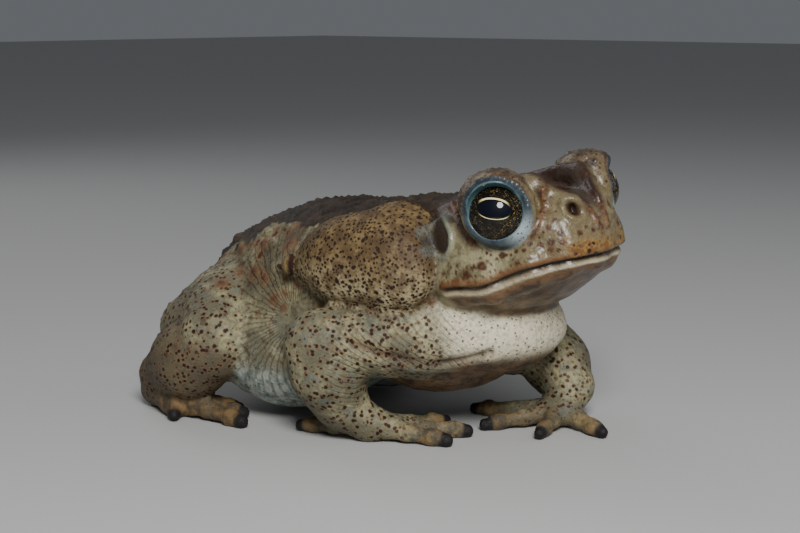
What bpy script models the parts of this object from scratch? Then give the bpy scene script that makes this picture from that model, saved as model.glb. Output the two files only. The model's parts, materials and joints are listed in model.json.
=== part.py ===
"""Still, life-size model of a cane toad at rest, its head raised.

Metres, +Z up, the toad faces -Y with its left side at +X. The sizes below
are in millimetres. Every piece is a smooth field of lobes and round cones,
meshed, cut clear of its neighbours by GAP and closed.
"""
import math
import random

import bmesh
import bpy
import numpy as np
from mathutils import Matrix, Vector

MM = 0.001
GAP = 0.3
SHIFT = (0.0, -9.1, 0.0)

HEAD_AT = (-1.0, -38.0, 57.0)
HEAD_PITCH, HEAD_ROLL, HEAD_YAW = 16.0, 4.5, 5.0
EYE_AT = (16.4, -1.6, 6.0)
EYE_R = 8.0
EYE_AXIS = (0.78, -0.61, 0.12)
LID_R = 9.2
LID_OPEN = 3.4
MOUTH_FRONT = (0.0, -20.5, -9.3)
MOUTH_SLOPE = -0.045
EAR_AT = (0.0, 15.2, 3.0)
EAR_R = (3.4, 4.7)
NOSTRIL_AT = (4.3, -15.6, 2.0)

SHOULDER_R, ELBOW_R, FOREARM_R, WRIST_R = 9.5, 8.5, 9.3, 6.4
THIGH_R, KNEE_R, CALF_R, ANKLE_R = 13.2, 10.0, 10.2, 5.4
RIGHT_ARM = {"shoulder": (-21, -12, 27), "elbow": (-36.5, 7, 26.5), "wrist": (-31, 5, 10),
             "palm": (-26.5, -1, 4.6), "thin": 1.0,
             "tips": ((-32, 18.5, 2.3), (-3, -7, 2.1), (-7, -18.2, 2.2), (-17.9, -20, 2.3))}
LEFT_ARM = {"shoulder": (18, -13, 20.5), "elbow": (31, -14, 19), "wrist": (25.5, -28, 9.5),
            "palm": (19.5, -29.5, 4.6), "thin": 0.92,
            "tips": ((12.6, -5, 2.3), (1.2, -18, 2.1), (3.5, -34, 2.2), (15.5, -45.5, 2.3))}
LEG = {"hip": (-13, 58, 30), "knee": (-40, 43, 23), "ankle": (-41, 66, 10), "heel": (-39.5, 68, 5),
       "ball": (-43, 57, 3.8),
       "tips": ((-48.5, 51, 2.2), (-40.4, 32.6, 2.4), (-34, 39, 2.2), (-30, 45, 2.0), (-29, 52, 1.9))}
TOE_AXIS = 1.6

BACK_WARTS, BACK_WART_R = 32, (1.3, 2.6)
SEED = 11
LEG_WARTS, LEG_WART_R = 7, (1.0, 1.7)
BROW_WARTS, BROW_WART_R = 8, (0.9, 1.5)


def turn(rx=0.0, ry=0.0, rz=0.0):
    a, b, c = (math.radians(v) for v in (rx, ry, rz))
    x = np.array([[1, 0, 0], [0, math.cos(a), -math.sin(a)], [0, math.sin(a), math.cos(a)]])
    y = np.array([[math.cos(b), 0, math.sin(b)], [0, 1, 0], [-math.sin(b), 0, math.cos(b)]])
    z = np.array([[math.cos(c), -math.sin(c), 0], [math.sin(c), math.cos(c), 0], [0, 0, 1]])
    return z @ y @ x


HEAD = (np.array(HEAD_AT), turn(-HEAD_PITCH, -HEAD_ROLL, -HEAD_YAW))
WORLD = (np.zeros(3), np.eye(3))


class Lobe:
    """An ellipsoid, blended into the ones before it over k millimetres."""

    def __init__(self, at, radii, k=4.0, tilt=(0, 0, 0), frame=WORLD):
        self.at = frame[0] + frame[1] @ np.array(at, float)
        self.axes = frame[1] @ turn(*tilt)
        self.radii, self.k = np.array(radii, float), k

    def dist(self, p):
        q = (p - self.at) @ self.axes / self.radii
        n = np.linalg.norm(q, axis=1)
        return n * (n - 1) / np.maximum(np.linalg.norm(q / self.radii, axis=1), 1e-9)

    def add(self, bm):
        m = np.eye(4)
        m[:3, :3], m[:3, 3] = self.axes @ np.diag(self.radii), self.at
        bmesh.ops.create_icosphere(bm, subdivisions=4, radius=1.0, matrix=Matrix(m.tolist()))


class Cone:
    """A round cone from a to b, blended in over k millimetres."""

    def __init__(self, a, b, ra, rb, k=3.0, frame=WORLD):
        self.a, self.b = (frame[0] + frame[1] @ np.array(v, float) for v in (a, b))
        self.ra, self.rb, self.k = ra, rb, k

    def dist(self, p):
        axis = self.b - self.a
        length = np.linalg.norm(axis)
        lean = max(-0.99, min(0.99, (self.ra - self.rb) / length))
        side = math.sqrt(1 - lean * lean)
        rel = p - self.a
        z = rel @ (axis / length)
        x = np.linalg.norm(rel - np.outer(z, axis / length), axis=1)
        t = side * z - lean * x
        return np.where(t < 0, np.hypot(x, z) - self.ra,
                        np.where(t > side * length, np.hypot(x, z - length) - self.rb,
                                 side * x + lean * z - self.ra))

    def add(self, bm):
        a, b = Vector(self.a), Vector(self.b)
        for c, r in ((a, self.ra), (b, self.rb)):
            bmesh.ops.create_icosphere(bm, subdivisions=3, radius=r, matrix=Matrix.Translation(c))
        m = Matrix.Translation((a + b) / 2) @ (b - a).to_track_quat("Z", "Y").to_matrix().to_4x4()
        bmesh.ops.create_cone(bm, cap_ends=True, segments=24, radius1=self.ra, radius2=self.rb,
                              depth=(b - a).length, matrix=m)


def both(at, radii, k=4.0, tilt=(0, 0, 0), frame=WORLD):
    x, y, z = at
    return [Lobe(at, radii, k, tilt, frame), Lobe((-x, y, z), radii, k, (tilt[0], -tilt[1], -tilt[2]), frame)]


def ridge(a, b, ra, rb, k=3.0, frame=WORLD):
    return [Cone(a, b, ra, rb, k, frame), Cone((-a[0],) + a[1:], (-b[0],) + b[1:], ra, rb, k, frame)]


def one(at, radii, side, k=4.0, tilt=(0, 0, 0), frame=WORLD):
    return [both(at, radii, k, tilt, frame)[0 if side > 0 else 1]]


def smooth_min(a, b, k):
    h = np.maximum(k - np.abs(a - b), 0) / k
    return np.minimum(a, b) - h * h * k / 4


def field(lobes, p):
    d = lobes[0].dist(p)
    for lobe in lobes[1:]:
        d = smooth_min(d, lobe.dist(p), lobe.k)
    return d


def slope(lobes, p, d):
    return np.stack([field(lobes, p + np.array(v)) - d for v in ((0.05, 0, 0), (0, 0.05, 0), (0, 0, 0.05))], 1) / 0.05


def settle(p, lobes, level=0.0, rounds=4):
    """Moves points onto the surface that lies level millimetres outside."""
    for _ in range(rounds):
        d = field(lobes, p)
        g = slope(lobes, p, d)
        p = p - np.clip((d - level) / np.maximum((g * g).sum(1), 0.1), -1.5, 1.5)[:, None] * g
    return p


def trunk_lobes():
    return ([Lobe((0, 20, 37), (32, 33, 20.6), 8, (-5, 0, 0)), Lobe((0, -6, 42), (26, 22, 20.4), 12),
             Lobe((0, 40, 35), (28, 30, 20.5), 12, (-13, 0, 0))]
            + both((16, 34, 20.3), (24.5, 26, 18.5), 8)
            + [Lobe((0, 58, 29), (21, 18, 17.5), 12), Lobe((0, -5, 22.5), (24, 20, 12.5), 8)])


def throat_lobes():
    return [Lobe((0, -22, 29.5), (20.5, 16.5, 12), 4)] + both((13, -12, 30), (11.5, 14, 12), 6)


def head_lobes():
    f = HEAD
    return ([Lobe((0, 6, -1), (20.5, 20, 11), 6, frame=f), Lobe((0, 18, 2), (19, 17, 12), 8, frame=f)]
            + both((12.5, 13, -7), (12, 14, 9), 6, frame=f)
            + [Lobe((0, -8.5, -2.5), (13, 10.3, 8.3), 6, frame=f)]
            + ridge((0, -15.1, -6.6), (7.6, -12.9, -6.4), 2.7, 2.7, 4, f)
            + ridge((7.6, -12.9, -6.4), (15.0, -6.4, -7.2), 2.7, 2.6, 4, f)
            + ridge((15.0, -6.4, -7.2), (19.8, 4, -8.8), 2.6, 2.4, 4, f)
            + ridge((19.8, 4, -8.8), (22, 15, -9.4), 2.4, 2.2, 4, f)
            + ridge((9.0, -8, 9.2), (5.0, -15.5, 4.2), 2.2, 1.8, 3, f)
            + ridge((9.0, -8, 11.2), (10.0, 10, 12.5), 2.2, 2.0, 3, f))


def jaw_lobes():
    f = HEAD
    return ([Lobe((0, 4.5, -12.6), (17.5, 19.5, 6.5), 3, (-15, 0, 0), f)]
            + ridge((0, -13.4, -10.6), (6.9, -11.4, -10.7), 1.7, 1.7, 3, f)
            + ridge((6.9, -11.4, -10.7), (13.8, -5.2, -11.2), 1.7, 1.8, 3, f)
            + ridge((13.8, -5.2, -11.2), (19, 4.5, -12.8), 1.8, 1.8, 3, f)
            + ridge((19, 4.5, -12.8), (20.5, 13, -12.6), 1.8, 1.8, 3, f))


def brow_lobes(side):
    return (one((17.0, -1.6, 11.2), (7.8, 8.6, 5.8), side, 3, (0, 8, 0), HEAD)
            + one((21.4, -3.0, 10.4), (4.2, 6.2, 3.4), side, 2.4, (0, 20, 0), HEAD))


def lid_lobes(side):
    return one(EYE_AT, (LID_R, LID_R, LID_R), side, 3, frame=HEAD)


def gland_lobes(side):
    return (one((26, -3, 46.5), (9.5, 19, 12.5), side, 2, (8, 0, -6)) + one((17, -8, 54), (8.5, 10, 8.5), side, 9)
            + [Cone((28 * side, 8, 46), (31 * side, 20, 44.5), 8.5, 3, 8)])


def between(a, b, t):
    return tuple(u + (v - u) * t for u, v in zip(a, b))


def upper_arm_lobes(arm):
    return [Cone(arm["shoulder"], arm["elbow"], SHOULDER_R * arm["thin"], ELBOW_R * arm["thin"])]


def forearm_lobes(arm):
    e, w, n = arm["elbow"], arm["wrist"], arm["thin"]
    return [Cone(e, between(e, w, 0.5), ELBOW_R * n, FOREARM_R * n),
            Cone(between(e, w, 0.45), w, FOREARM_R * n, WRIST_R * n, 4)]


def digits(root, tips, lift, root_r):
    lobes = []
    for x, y, r in tips:
        tip = (x, y, TOE_AXIS)
        mid, pre = between(root, tip, 0.5), between(root, tip, 0.86)
        mid, pre = (mid[0], mid[1], TOE_AXIS + lift), (pre[0], pre[1], TOE_AXIS + 0.5)
        lobes += [Cone(root, mid, root_r, r * 0.95, 2.0), Cone(mid, pre, r * 0.95, r * 0.85, 1.2),
                  Cone(pre, tip, r * 0.95, r * 0.8, 1.0)]
    return lobes


def hand_lobes(arm):
    w, p, n = arm["wrist"], arm["palm"], arm["thin"]
    return [Cone(w, p, WRIST_R * n, 4.8, 3)] + digits(p, arm["tips"], 1.3, 3.6)


def mirrored(v, side):
    return (-v[0] * side,) + tuple(v[1:])


def leg_points(side):
    return {k: mirrored(v, side) if k != "tips" else tuple(mirrored(t, side) for t in v) for k, v in LEG.items()}


def thigh_lobes(side):
    g = leg_points(side)
    rear = between(g["hip"], g["ankle"], 0.72)
    return [Cone(g["hip"], between(g["hip"], g["knee"], 0.55), 12.5, THIGH_R, 5),
            Cone(between(g["hip"], g["knee"], 0.5), g["knee"], THIGH_R, KNEE_R, 4),
            Cone(between(g["hip"], g["knee"], 0.3), (rear[0], rear[1] - 3, rear[2] + 7), 11, 9, 5)]


def shank_lobes(side):
    g = leg_points(side)
    k, a = g["knee"], g["ankle"]
    low = (k[0] - 1.5 * (-side), k[1], k[2] - 3)
    return [Cone(low, between(low, a, 0.4), KNEE_R * 0.86, CALF_R, 3), Cone(between(low, a, 0.35), a, CALF_R, ANKLE_R, 4)]


def foot_lobes(side):
    g = leg_points(side)
    return ([Cone(g["ankle"], g["heel"], ANKLE_R, 4.6, 3), Cone(g["heel"], g["ball"], 4.6, 4.2, 3)]
            + digits(g["ball"], g["tips"], 1.6, 3.4))


def surface_point(lobes, start, way, far=60.0):
    """Where a ray from inside leaves the field, and the outward direction there."""
    way = np.array(way, float) / np.linalg.norm(way)
    t = np.linspace(0, far, 241)
    d = field(lobes, np.array(start) + t[:, None] * way)
    i = int(np.argmax(d > 0))
    at = np.array(start) + (t[i] - d[i]) * way
    at = settle(at[None], lobes)
    g = slope(lobes, at, field(lobes, at))[0]
    return at[0], g / np.linalg.norm(g)


def head_point(v):
    return HEAD[0] + HEAD[1] @ np.array(v, float)


def ear_place(side):
    start = head_point((0, EAR_AT[1], EAR_AT[2]))
    return surface_point(head_lobes(), start, HEAD[1] @ np.array((side, 0.0, 0.05)))


def scatter(rng, lobes, rays, sizes, others, clear, spread=1.0):
    """Wart places along rays, off the neighbours and off one another."""
    found = []
    for start, way in rays:
        at, up = surface_point(lobes, start, way)
        r = sizes[0] + (sizes[1] - sizes[0]) * rng.random() ** 1.6
        if any(field(o, at[None])[0] < r + clear for o in others):
            continue
        if any(np.linalg.norm(at - q) < (r + s) * spread + 0.8 for q, _, s in found):
            continue
        found.append((at, up, r))
    return found


def back_warts():
    rng = random.Random(SEED)
    others = [head_lobes(), gland_lobes(1), gland_lobes(-1), upper_arm_lobes(RIGHT_ARM), upper_arm_lobes(LEFT_ARM),
              forearm_lobes(RIGHT_ARM), thigh_lobes(1), thigh_lobes(-1), shank_lobes(1), shank_lobes(-1)]
    rays = []
    for _ in range(6 * BACK_WARTS):
        a = math.radians(rng.uniform(-84, 84))
        y = rng.uniform(-6, 68)
        rays.append(((0, min(y, 52), 28), (math.sin(a), 0.12 + max(0, y - 52) / 14, math.cos(a))))
    found = scatter(rng, trunk_lobes(), rays, BACK_WART_R, others, 0.6)
    return found[:BACK_WARTS]


def leg_warts(side):
    rng = random.Random(SEED + 3 + side)
    g = leg_points(side)
    rays = []
    for _ in range(8 * LEG_WARTS):
        a = math.radians(rng.uniform(-70, 70))
        rays.append((between(g["hip"], g["knee"], rng.uniform(0.35, 1.05)), (side * math.cos(a), 0.6, 0.5 + math.sin(a))))
    return scatter(rng, thigh_lobes(side), rays, LEG_WART_R, [trunk_lobes(), shank_lobes(side)], 0.6)[:LEG_WARTS]


def brow_warts(side):
    rng = random.Random(SEED + 7 + side)
    start = head_point((EYE_AT[0] * side, -1.5, 8.6))
    rays = []
    for _ in range(12 * BROW_WARTS):
        a, b = rng.uniform(-1.0, 1.0), rng.uniform(-1.1, 1.1)
        rays.append((start, HEAD[1] @ np.array((side * math.sin(a) + 0.2 * side, math.sin(b), 1.0))))
    lobes = brow_lobes(side)
    eye = [Lobe(np.array(EYE_AT) * (side, 1, 1), (EYE_R,) * 3, frame=HEAD)]
    return scatter(rng, lobes, rays, BROW_WART_R, [head_lobes(), eye], 0.3, 0.85)[:BROW_WARTS]


def dome(bm, place, flat=0.55):
    at, up, r = place
    m = (Matrix.Translation(Vector(at - up * r * 0.1)) @ Vector(up).to_track_quat("Z", "Y").to_matrix().to_4x4()
         @ Matrix.Diagonal((r, r, r * flat, 1.0)))
    bmesh.ops.create_uvsphere(bm, u_segments=7, v_segments=4, radius=1.0, matrix=m)


def clear_scene():
    for ob in list(bpy.data.objects):
        bpy.data.objects.remove(ob)
    for group in list(bpy.data.collections):
        bpy.data.collections.remove(group)


def new_object(name, mesh, group):
    ob = bpy.data.objects.new(name, mesh)
    group.objects.link(ob)
    return ob


def applied(ob):
    """Bakes an object's modifiers into its mesh."""
    graph = bpy.context.evaluated_depsgraph_get()
    graph.update()
    mesh = bpy.data.meshes.new_from_object(ob.evaluated_get(graph))
    ob.modifiers.clear()
    old, ob.data = ob.data, mesh
    bpy.data.meshes.remove(old)
    return ob


def points(mesh):
    p = np.empty(len(mesh.vertices) * 3)
    mesh.vertices.foreach_get("co", p)
    return p.reshape(-1, 3)


def place(mesh, p):
    mesh.vertices.foreach_set("co", p.ravel())
    mesh.update()


def solid(name, lobes, voxel, tris, group):
    """A closed mesh of the lobes' smooth field, about tris triangles, in millimetres."""
    bm = bmesh.new()
    for lobe in lobes:
        lobe.add(bm)
    mesh = bpy.data.meshes.new(name)
    bm.to_mesh(mesh)
    bm.free()
    ob = new_object(name, mesh, group)
    step = ob.modifiers.new("remesh", "REMESH")
    step.mode, step.voxel_size = "VOXEL", voxel
    applied(ob)
    place(ob.data, settle(points(ob.data), lobes))
    step = ob.modifiers.new("thin", "DECIMATE")
    step.ratio = min(1.0, tris / (2.0 * len(ob.data.polygons)))
    applied(ob)
    place(ob.data, settle(points(ob.data), lobes, rounds=2))
    return ob


def grown(name, ob, lobes, group, by=GAP):
    """A copy of a solid, grown outward, that cuts its neighbours clear."""
    copy = new_object(name, ob.data.copy(), group)
    p = points(copy.data)
    g = slope(lobes, p, field(lobes, p))
    place(copy.data, p + by * g / np.maximum(np.linalg.norm(g, axis=1), 0.2)[:, None])
    return copy


def largest(bm):
    """Keeps only the largest closed surface."""
    bm.verts.ensure_lookup_table()
    seen, best = set(), []
    for v in bm.verts:
        if v in seen:
            continue
        seen.add(v)
        shell, stack = [], [v]
        while stack:
            u = stack.pop()
            shell.append(u)
            for e in u.link_edges:
                w = e.other_vert(u)
                if w not in seen:
                    seen.add(w)
                    stack.append(w)
        if len(shell) > len(best):
            best = shell
    keep = set(best)
    bmesh.ops.delete(bm, geom=[v for v in bm.verts if v not in keep], context="VERTS")


def tidy(ob):
    """Merges the flat fragments that cuts leave, where that keeps the piece closed."""
    for angle in (2.0, 1.4, 0.8, 0.3, 0.1):
        bm = bmesh.new()
        bm.from_mesh(ob.data)
        bmesh.ops.dissolve_limit(bm, angle_limit=math.radians(angle), verts=bm.verts, edges=bm.edges)
        bmesh.ops.triangulate(bm, faces=bm.faces)
        pinched = [e for e in bm.edges if len(e.link_faces) > 2]
        for reach in (0.25, 0.6, 1.0):
            if pinched:
                spots = [v.co.copy() for e in pinched for v in e.verts]
                near = [v for v in bm.verts if min((v.co - c).length for c in spots) < reach]
                bmesh.ops.remove_doubles(bm, verts=near, dist=reach)
                bmesh.ops.triangulate(bm, faces=bm.faces)
                pinched = [e for e in bm.edges if len(e.link_faces) > 2]
        largest(bm)
        if all(e.is_manifold for e in bm.edges):
            break
    bmesh.ops.recalc_face_normals(bm, faces=bm.faces)
    bm.to_mesh(ob.data)
    bm.free()
    return ob


def slice_off(ob, at, out):
    """Cuts away what lies beyond a plane and closes the cut."""
    bm = bmesh.new()
    bm.from_mesh(ob.data)
    cut = bmesh.ops.bisect_plane(bm, geom=bm.verts[:] + bm.edges[:] + bm.faces[:], dist=1e-5, plane_co=Vector(at),
                                 plane_no=Vector(out), clear_outer=True)
    edges = [e for e in cut["geom_cut"] if isinstance(e, bmesh.types.BMEdge) and e.is_boundary]
    bmesh.ops.holes_fill(bm, edges=edges, sides=0)
    bmesh.ops.triangulate(bm, faces=[f for f in bm.faces if len(f.verts) > 3])
    bm.to_mesh(ob.data)
    bm.free()
    return ob


def boolean(ob, other, operation, solver="EXACT"):
    step = ob.modifiers.new("cut", "BOOLEAN")
    step.operation, step.object, step.solver = operation, other, solver
    return applied(ob)


def with_domes(ob, places, group, flat=0.55):
    """Joins the warts to their piece with one union."""
    pool = bpy.data.collections.new("domes")
    bpy.context.scene.collection.children.link(pool)
    for spot in places:
        bm = bmesh.new()
        dome(bm, spot, flat)
        mesh = bpy.data.meshes.new("dome")
        bm.to_mesh(mesh)
        bm.free()
        new_object("dome", mesh, pool)
    step = ob.modifiers.new("warts", "BOOLEAN")
    step.operation, step.operand_type, step.collection, step.solver = "UNION", "COLLECTION", pool, "EXACT"
    applied(ob)
    for extra in list(pool.objects):
        bpy.data.objects.remove(extra)
    bpy.data.collections.remove(pool)
    return ob


def material(name, color, roughness=0.6):
    mat = bpy.data.materials.new(name)
    mat.use_nodes = True
    shader = mat.node_tree.nodes["Principled BSDF"]
    shader.inputs["Base Color"].default_value = (*color, 1.0)
    shader.inputs["Roughness"].default_value = roughness
    mat.diffuse_color = (*color, 1.0)
    return mat


SKIN = {"torso": (0.30, 0.25, 0.18), "throat": (0.72, 0.66, 0.52), "head": (0.46, 0.36, 0.22),
        "lower_jaw": (0.55, 0.46, 0.32), "parotoid": (0.42, 0.28, 0.14), "eye": (0.02, 0.02, 0.02),
        "upper_eyelid": (0.40, 0.27, 0.15), "lower_eyelid": (0.45, 0.52, 0.58), "tympanum": (0.14, 0.11, 0.09),
        "upper_arm": (0.48, 0.43, 0.33), "forearm": (0.48, 0.43, 0.33), "hand": (0.50, 0.36, 0.20),
        "thigh": (0.36, 0.32, 0.25), "shank": (0.44, 0.40, 0.31), "foot": (0.42, 0.34, 0.22)}


def mouth_plane(lift):
    """A point on the mouth plane and its upward direction."""
    up = HEAD[1] @ (np.array((0.0, -MOUTH_SLOPE, 1.0)) / math.hypot(MOUTH_SLOPE, 1.0))
    return head_point(MOUTH_FRONT) + up * lift, up


def eye_way(side):
    way = HEAD[1] @ (np.array(EYE_AXIS) * (side, 1, 1))
    return way / np.linalg.norm(way)


def eye_centre(side):
    return head_point(np.array(EYE_AT) * (side, 1, 1))


def build():
    clear_scene()
    scene = bpy.context.scene
    parts = bpy.data.collections.new("cane_toad")
    cutters = bpy.data.collections.new("cutters")
    for group in (parts, cutters):
        scene.collection.children.link(group)

    head_all = head_lobes() + jaw_lobes()
    shapes, forms = {}, {}

    def make(name, lobes, voxel, tris):
        forms[name] = lobes
        shapes[name] = solid(name, lobes, voxel, tris, parts)
        return shapes[name]

    make("torso", trunk_lobes(), 2.4, 1150)
    make("throat", throat_lobes(), 1.8, 280)
    make("head", head_all, 1.3, 1150)
    for word, side in (("left", 1), ("right", -1)):
        arm = LEFT_ARM if side > 0 else RIGHT_ARM
        make("parotoid_" + word, gland_lobes(side), 1.3, 300)
        make("upper_arm_" + word, upper_arm_lobes(arm), 1.3, 200)
        make("forearm_" + word, forearm_lobes(arm), 1.3, 240)
        make("hand_" + word, hand_lobes(arm), 0.7, 660)
        make("thigh_" + word, thigh_lobes(side), 1.6, 230)
        make("shank_" + word, shank_lobes(side), 1.4, 220)
        make("foot_" + word, foot_lobes(side), 0.7, 720)
        make("eye_" + word, [Lobe(np.array(EYE_AT) * (side, 1, 1), (EYE_R,) * 3, frame=HEAD)], 1.0, 260)
        make("upper_eyelid_" + word, brow_lobes(side), 0.8, 200)
        make("lower_eyelid_" + word, lid_lobes(side), 0.8, 220)
        at, up = ear_place(side)
        ear = Lobe(at - up * 0.7, (EAR_R[0], EAR_R[1], 1.3), 1)
        long_way = HEAD[1] @ np.array((0, 0.25, 1.0))
        long_way -= up * (long_way @ up)
        long_way /= np.linalg.norm(long_way)
        ear.axes = np.stack([np.cross(long_way, up), long_way, up], 1)
        make("tympanum_" + word, [ear], 0.6, 120)

    grow = {name: grown("cut_" + name, ob, forms[name], cutters) for name, ob in shapes.items()}

    jaw = new_object("lower_jaw", shapes["head"].data.copy(), parts)
    shapes["lower_jaw"] = jaw
    at, up = mouth_plane(GAP / 2)
    slice_off(shapes["head"], at, -up)
    at, up = mouth_plane(-GAP / 2)
    slice_off(jaw, at, up)

    with_domes(shapes["torso"], back_warts(), parts)
    for word, side in (("left", 1), ("right", -1)):
        with_domes(shapes["thigh_" + word], leg_warts(side), parts)
        with_domes(shapes["upper_eyelid_" + word], brow_warts(side), parts)
        for limb in ("hand_", "foot_"):
            slice_off(shapes[limb + word], (0, 0, 0), (0, 0, -1))
        boolean(shapes["upper_eyelid_" + word], grow["eye_" + word], "DIFFERENCE")
        lower, out, c = shapes["lower_eyelid_" + word], eye_way(side), eye_centre(side)
        slice_off(lower, c + out * LID_OPEN, out)
        boolean(lower, grow["eye_" + word], "DIFFERENCE")
        boolean(lower, grow["upper_eyelid_" + word], "DIFFERENCE")
        nostril = new_object("cut_nostril_" + word, bpy.data.meshes.new("cut_nostril"), cutters)
        bm = bmesh.new()
        spot, up = surface_point(head_all, head_point((NOSTRIL_AT[0] * side, -8, -1)),
                                 HEAD[1] @ np.array((0.25 * side, -1, 0.42)))
        dome(bm, (spot, up, 1.0), 1.2)
        bm.to_mesh(nostril.data)
        bm.free()
        boolean(shapes["head"], nostril, "DIFFERENCE")

    skull = ["parotoid_", "upper_eyelid_", "lower_eyelid_", "tympanum_"]
    for word in ("left", "right"):
        for name in skull:
            boolean(shapes["head"], grow[name + word], "DIFFERENCE")
        boolean(jaw, grow["lower_eyelid_" + word], "DIFFERENCE")
        boolean(jaw, grow["parotoid_" + word], "DIFFERENCE")
        boolean(shapes["parotoid_" + word], grow["tympanum_" + word], "DIFFERENCE")
        for name, by in (("upper_arm_", ("forearm_", "parotoid_")), ("forearm_", ("hand_",)),
                         ("thigh_", ("shank_", "foot_")), ("shank_", ("foot_",))):
            for other in by:
                boolean(shapes[name + word], grow[other + word], "DIFFERENCE")
        for name in ("parotoid_", "upper_arm_", "forearm_", "hand_"):
            boolean(shapes["throat"], grow[name + word], "DIFFERENCE")
        for name in ("parotoid_", "upper_arm_", "forearm_", "thigh_", "shank_", "foot_"):
            boolean(shapes["torso"], grow[name + word], "DIFFERENCE")
    boolean(shapes["throat"], grow["head"], "DIFFERENCE")
    boolean(shapes["torso"], grow["throat"], "DIFFERENCE")
    boolean(shapes["torso"], grow["head"], "DIFFERENCE", "MANIFOLD")

    move = Matrix.Translation(Vector(SHIFT) * MM) @ Matrix.Scale(MM, 4)
    for name, ob in shapes.items():
        tidy(ob)
        ob.data.transform(move)
        base = name.replace("_left", "").replace("_right", "")
        ob.data.materials.clear()
        ob.data.materials.append(material(name, SKIN[base], 0.12 if base == "eye" else 0.6))
    for ob in cutters.objects:
        ob.data.transform(move)
        ob.hide_render, ob.display_type = True, "WIRE"


build()
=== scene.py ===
"""Cane toad at rest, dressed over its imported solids: one skin, two eyes and a stage."""
import json
import math
import random
from functools import partial

import bmesh
import bpy
import numpy as np
from mathutils import Matrix, Vector, noise

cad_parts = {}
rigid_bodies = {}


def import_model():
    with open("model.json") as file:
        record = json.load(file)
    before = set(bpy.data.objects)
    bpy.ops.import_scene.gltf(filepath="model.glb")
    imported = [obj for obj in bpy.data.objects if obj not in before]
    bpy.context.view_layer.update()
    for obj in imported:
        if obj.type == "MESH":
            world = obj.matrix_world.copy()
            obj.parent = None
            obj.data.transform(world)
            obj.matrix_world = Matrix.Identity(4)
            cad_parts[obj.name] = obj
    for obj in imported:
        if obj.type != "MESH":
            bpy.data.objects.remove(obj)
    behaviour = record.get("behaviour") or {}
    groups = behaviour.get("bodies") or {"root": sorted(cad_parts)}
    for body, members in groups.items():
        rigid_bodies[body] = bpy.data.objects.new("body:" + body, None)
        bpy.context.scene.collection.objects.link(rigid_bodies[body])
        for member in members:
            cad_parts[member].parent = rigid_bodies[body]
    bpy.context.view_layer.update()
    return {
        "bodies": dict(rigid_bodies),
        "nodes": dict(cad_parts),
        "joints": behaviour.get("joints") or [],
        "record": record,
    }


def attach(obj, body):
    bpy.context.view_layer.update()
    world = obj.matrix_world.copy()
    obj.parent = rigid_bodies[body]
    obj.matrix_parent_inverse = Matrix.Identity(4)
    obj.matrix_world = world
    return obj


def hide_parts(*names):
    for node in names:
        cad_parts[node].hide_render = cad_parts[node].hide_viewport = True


bl_info = {
    "name": "Cane Toad",
    "version": (1, 0, 0),
    "blender": (4, 5, 0),
    "location": "3D View > Sidebar > Cane Toad",
    "description": "Builds the skin, eyes and stage of a life-size cane toad",
    "category": "Object",
}

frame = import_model()

# Lengths are millimetres until a piece is finished; forward is -Y and the toad's left is +X.
MM = 0.001
SHIFT = np.array((0.0, -9.1, 0.0))
HEAD_AT = (-1.0, -38.0, 57.0)
HEAD_PITCH, HEAD_ROLL, HEAD_YAW = 16.0, 4.5, 5.0
EYE_AT = (16.4, -1.6, 6.0)
EYE_AXIS = (0.78, -0.61, 0.12)
SOCKET_OVERLAP, OPENING_OUT, OPENING_DROP, OPENING_R = 0.35, 8.0, 0.8, 7.2
MOUTH_FRONT_Z = -9.3
EAR_AT = (0.0, 15.2, 3.0)
EAR_R = (2.9, 4.8)
NOSTRIL_X = 4.3
SHOULDER_R, ELBOW_R, FOREARM_R, WRIST_R, PALM_R = 9.5, 8.5, 9.3, 6.4, 4.8
THIGH_R, KNEE_R, CALF_R, ANKLE_R, HEEL_R = 13.2, 10.0, 10.2, 5.4, 4.6

# The tip of a finger or toe has its x, its y and the digit's radius. The leg is the right one.
RIGHT_ARM = {"shoulder": (-21, -12, 27), "elbow": (-36.5, 7, 26.5), "wrist": (-31, 5, 10),
             "palm": (-26.5, -1, 4.6), "thin": 1.0,
             "tips": ((-32, 18.5, 2.3), (-3, -7, 2.1), (-7, -18.2, 2.2), (-17.9, -20, 2.3))}
LEFT_ARM = {"shoulder": (18, -13, 20.5), "elbow": (31, -14, 19), "wrist": (25.5, -28, 9.5),
            "palm": (19.5, -29.5, 4.6), "thin": 0.92,
            "tips": ((12.6, -5, 2.3), (1.2, -18, 2.1), (3.5, -34, 2.2), (15.5, -45.5, 2.3))}
LEG = {"hip": (-13, 58, 30), "knee": (-40, 43, 23), "ankle": (-41, 66, 10), "heel": (-39.5, 68, 5),
       "ball": (-43, 57, 3.8),
       "tips": ((-48.5, 51, 2.2), (-40.4, 32.6, 2.4), (-34, 39, 2.2), (-30, 45, 2.0), (-29, 52, 1.9))}
TOE_AXIS = 1.6
FINGER_REACH, TOE_REACH = 11, 10

# Runs of points and spots in the head's frame, with a radius after each point of the lips.
UPPER_LIP = ((0, -15.1, -6.6, 2.7), (7.6, -12.9, -6.4, 2.7), (15.0, -6.4, -7.2, 2.6), (19.8, 4, -8.8, 2.4),
             (22, 15, -9.4, 2.2))
LOWER_LIP = ((0, -13.4, -10.6, 1.7), (6.9, -11.4, -10.7, 1.7), (13.8, -5.2, -11.2, 1.8),
             (19, 4.5, -12.8, 1.8), (20.5, 13, -12.6, 1.8))
CANTHUS = ((9.8, -10, 9.2), (6, -12.6, 8), (3.4, -15.6, 5.4), (2.2, -18, 1.6), (1.4, -19, -3))
PREORBITAL = ((9.5, -11.3, 8.7), (10.1, -11, 4.5), (13.4, -10.6, 1.2), (14.7, -9.7, -1.1))
POSTORBITAL = ((13.5, 16.4, 10.9), (17, 12.1, 7.9), (19.6, 8.5, 4.3), (21.2, 4.2, 0.1))
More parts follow.
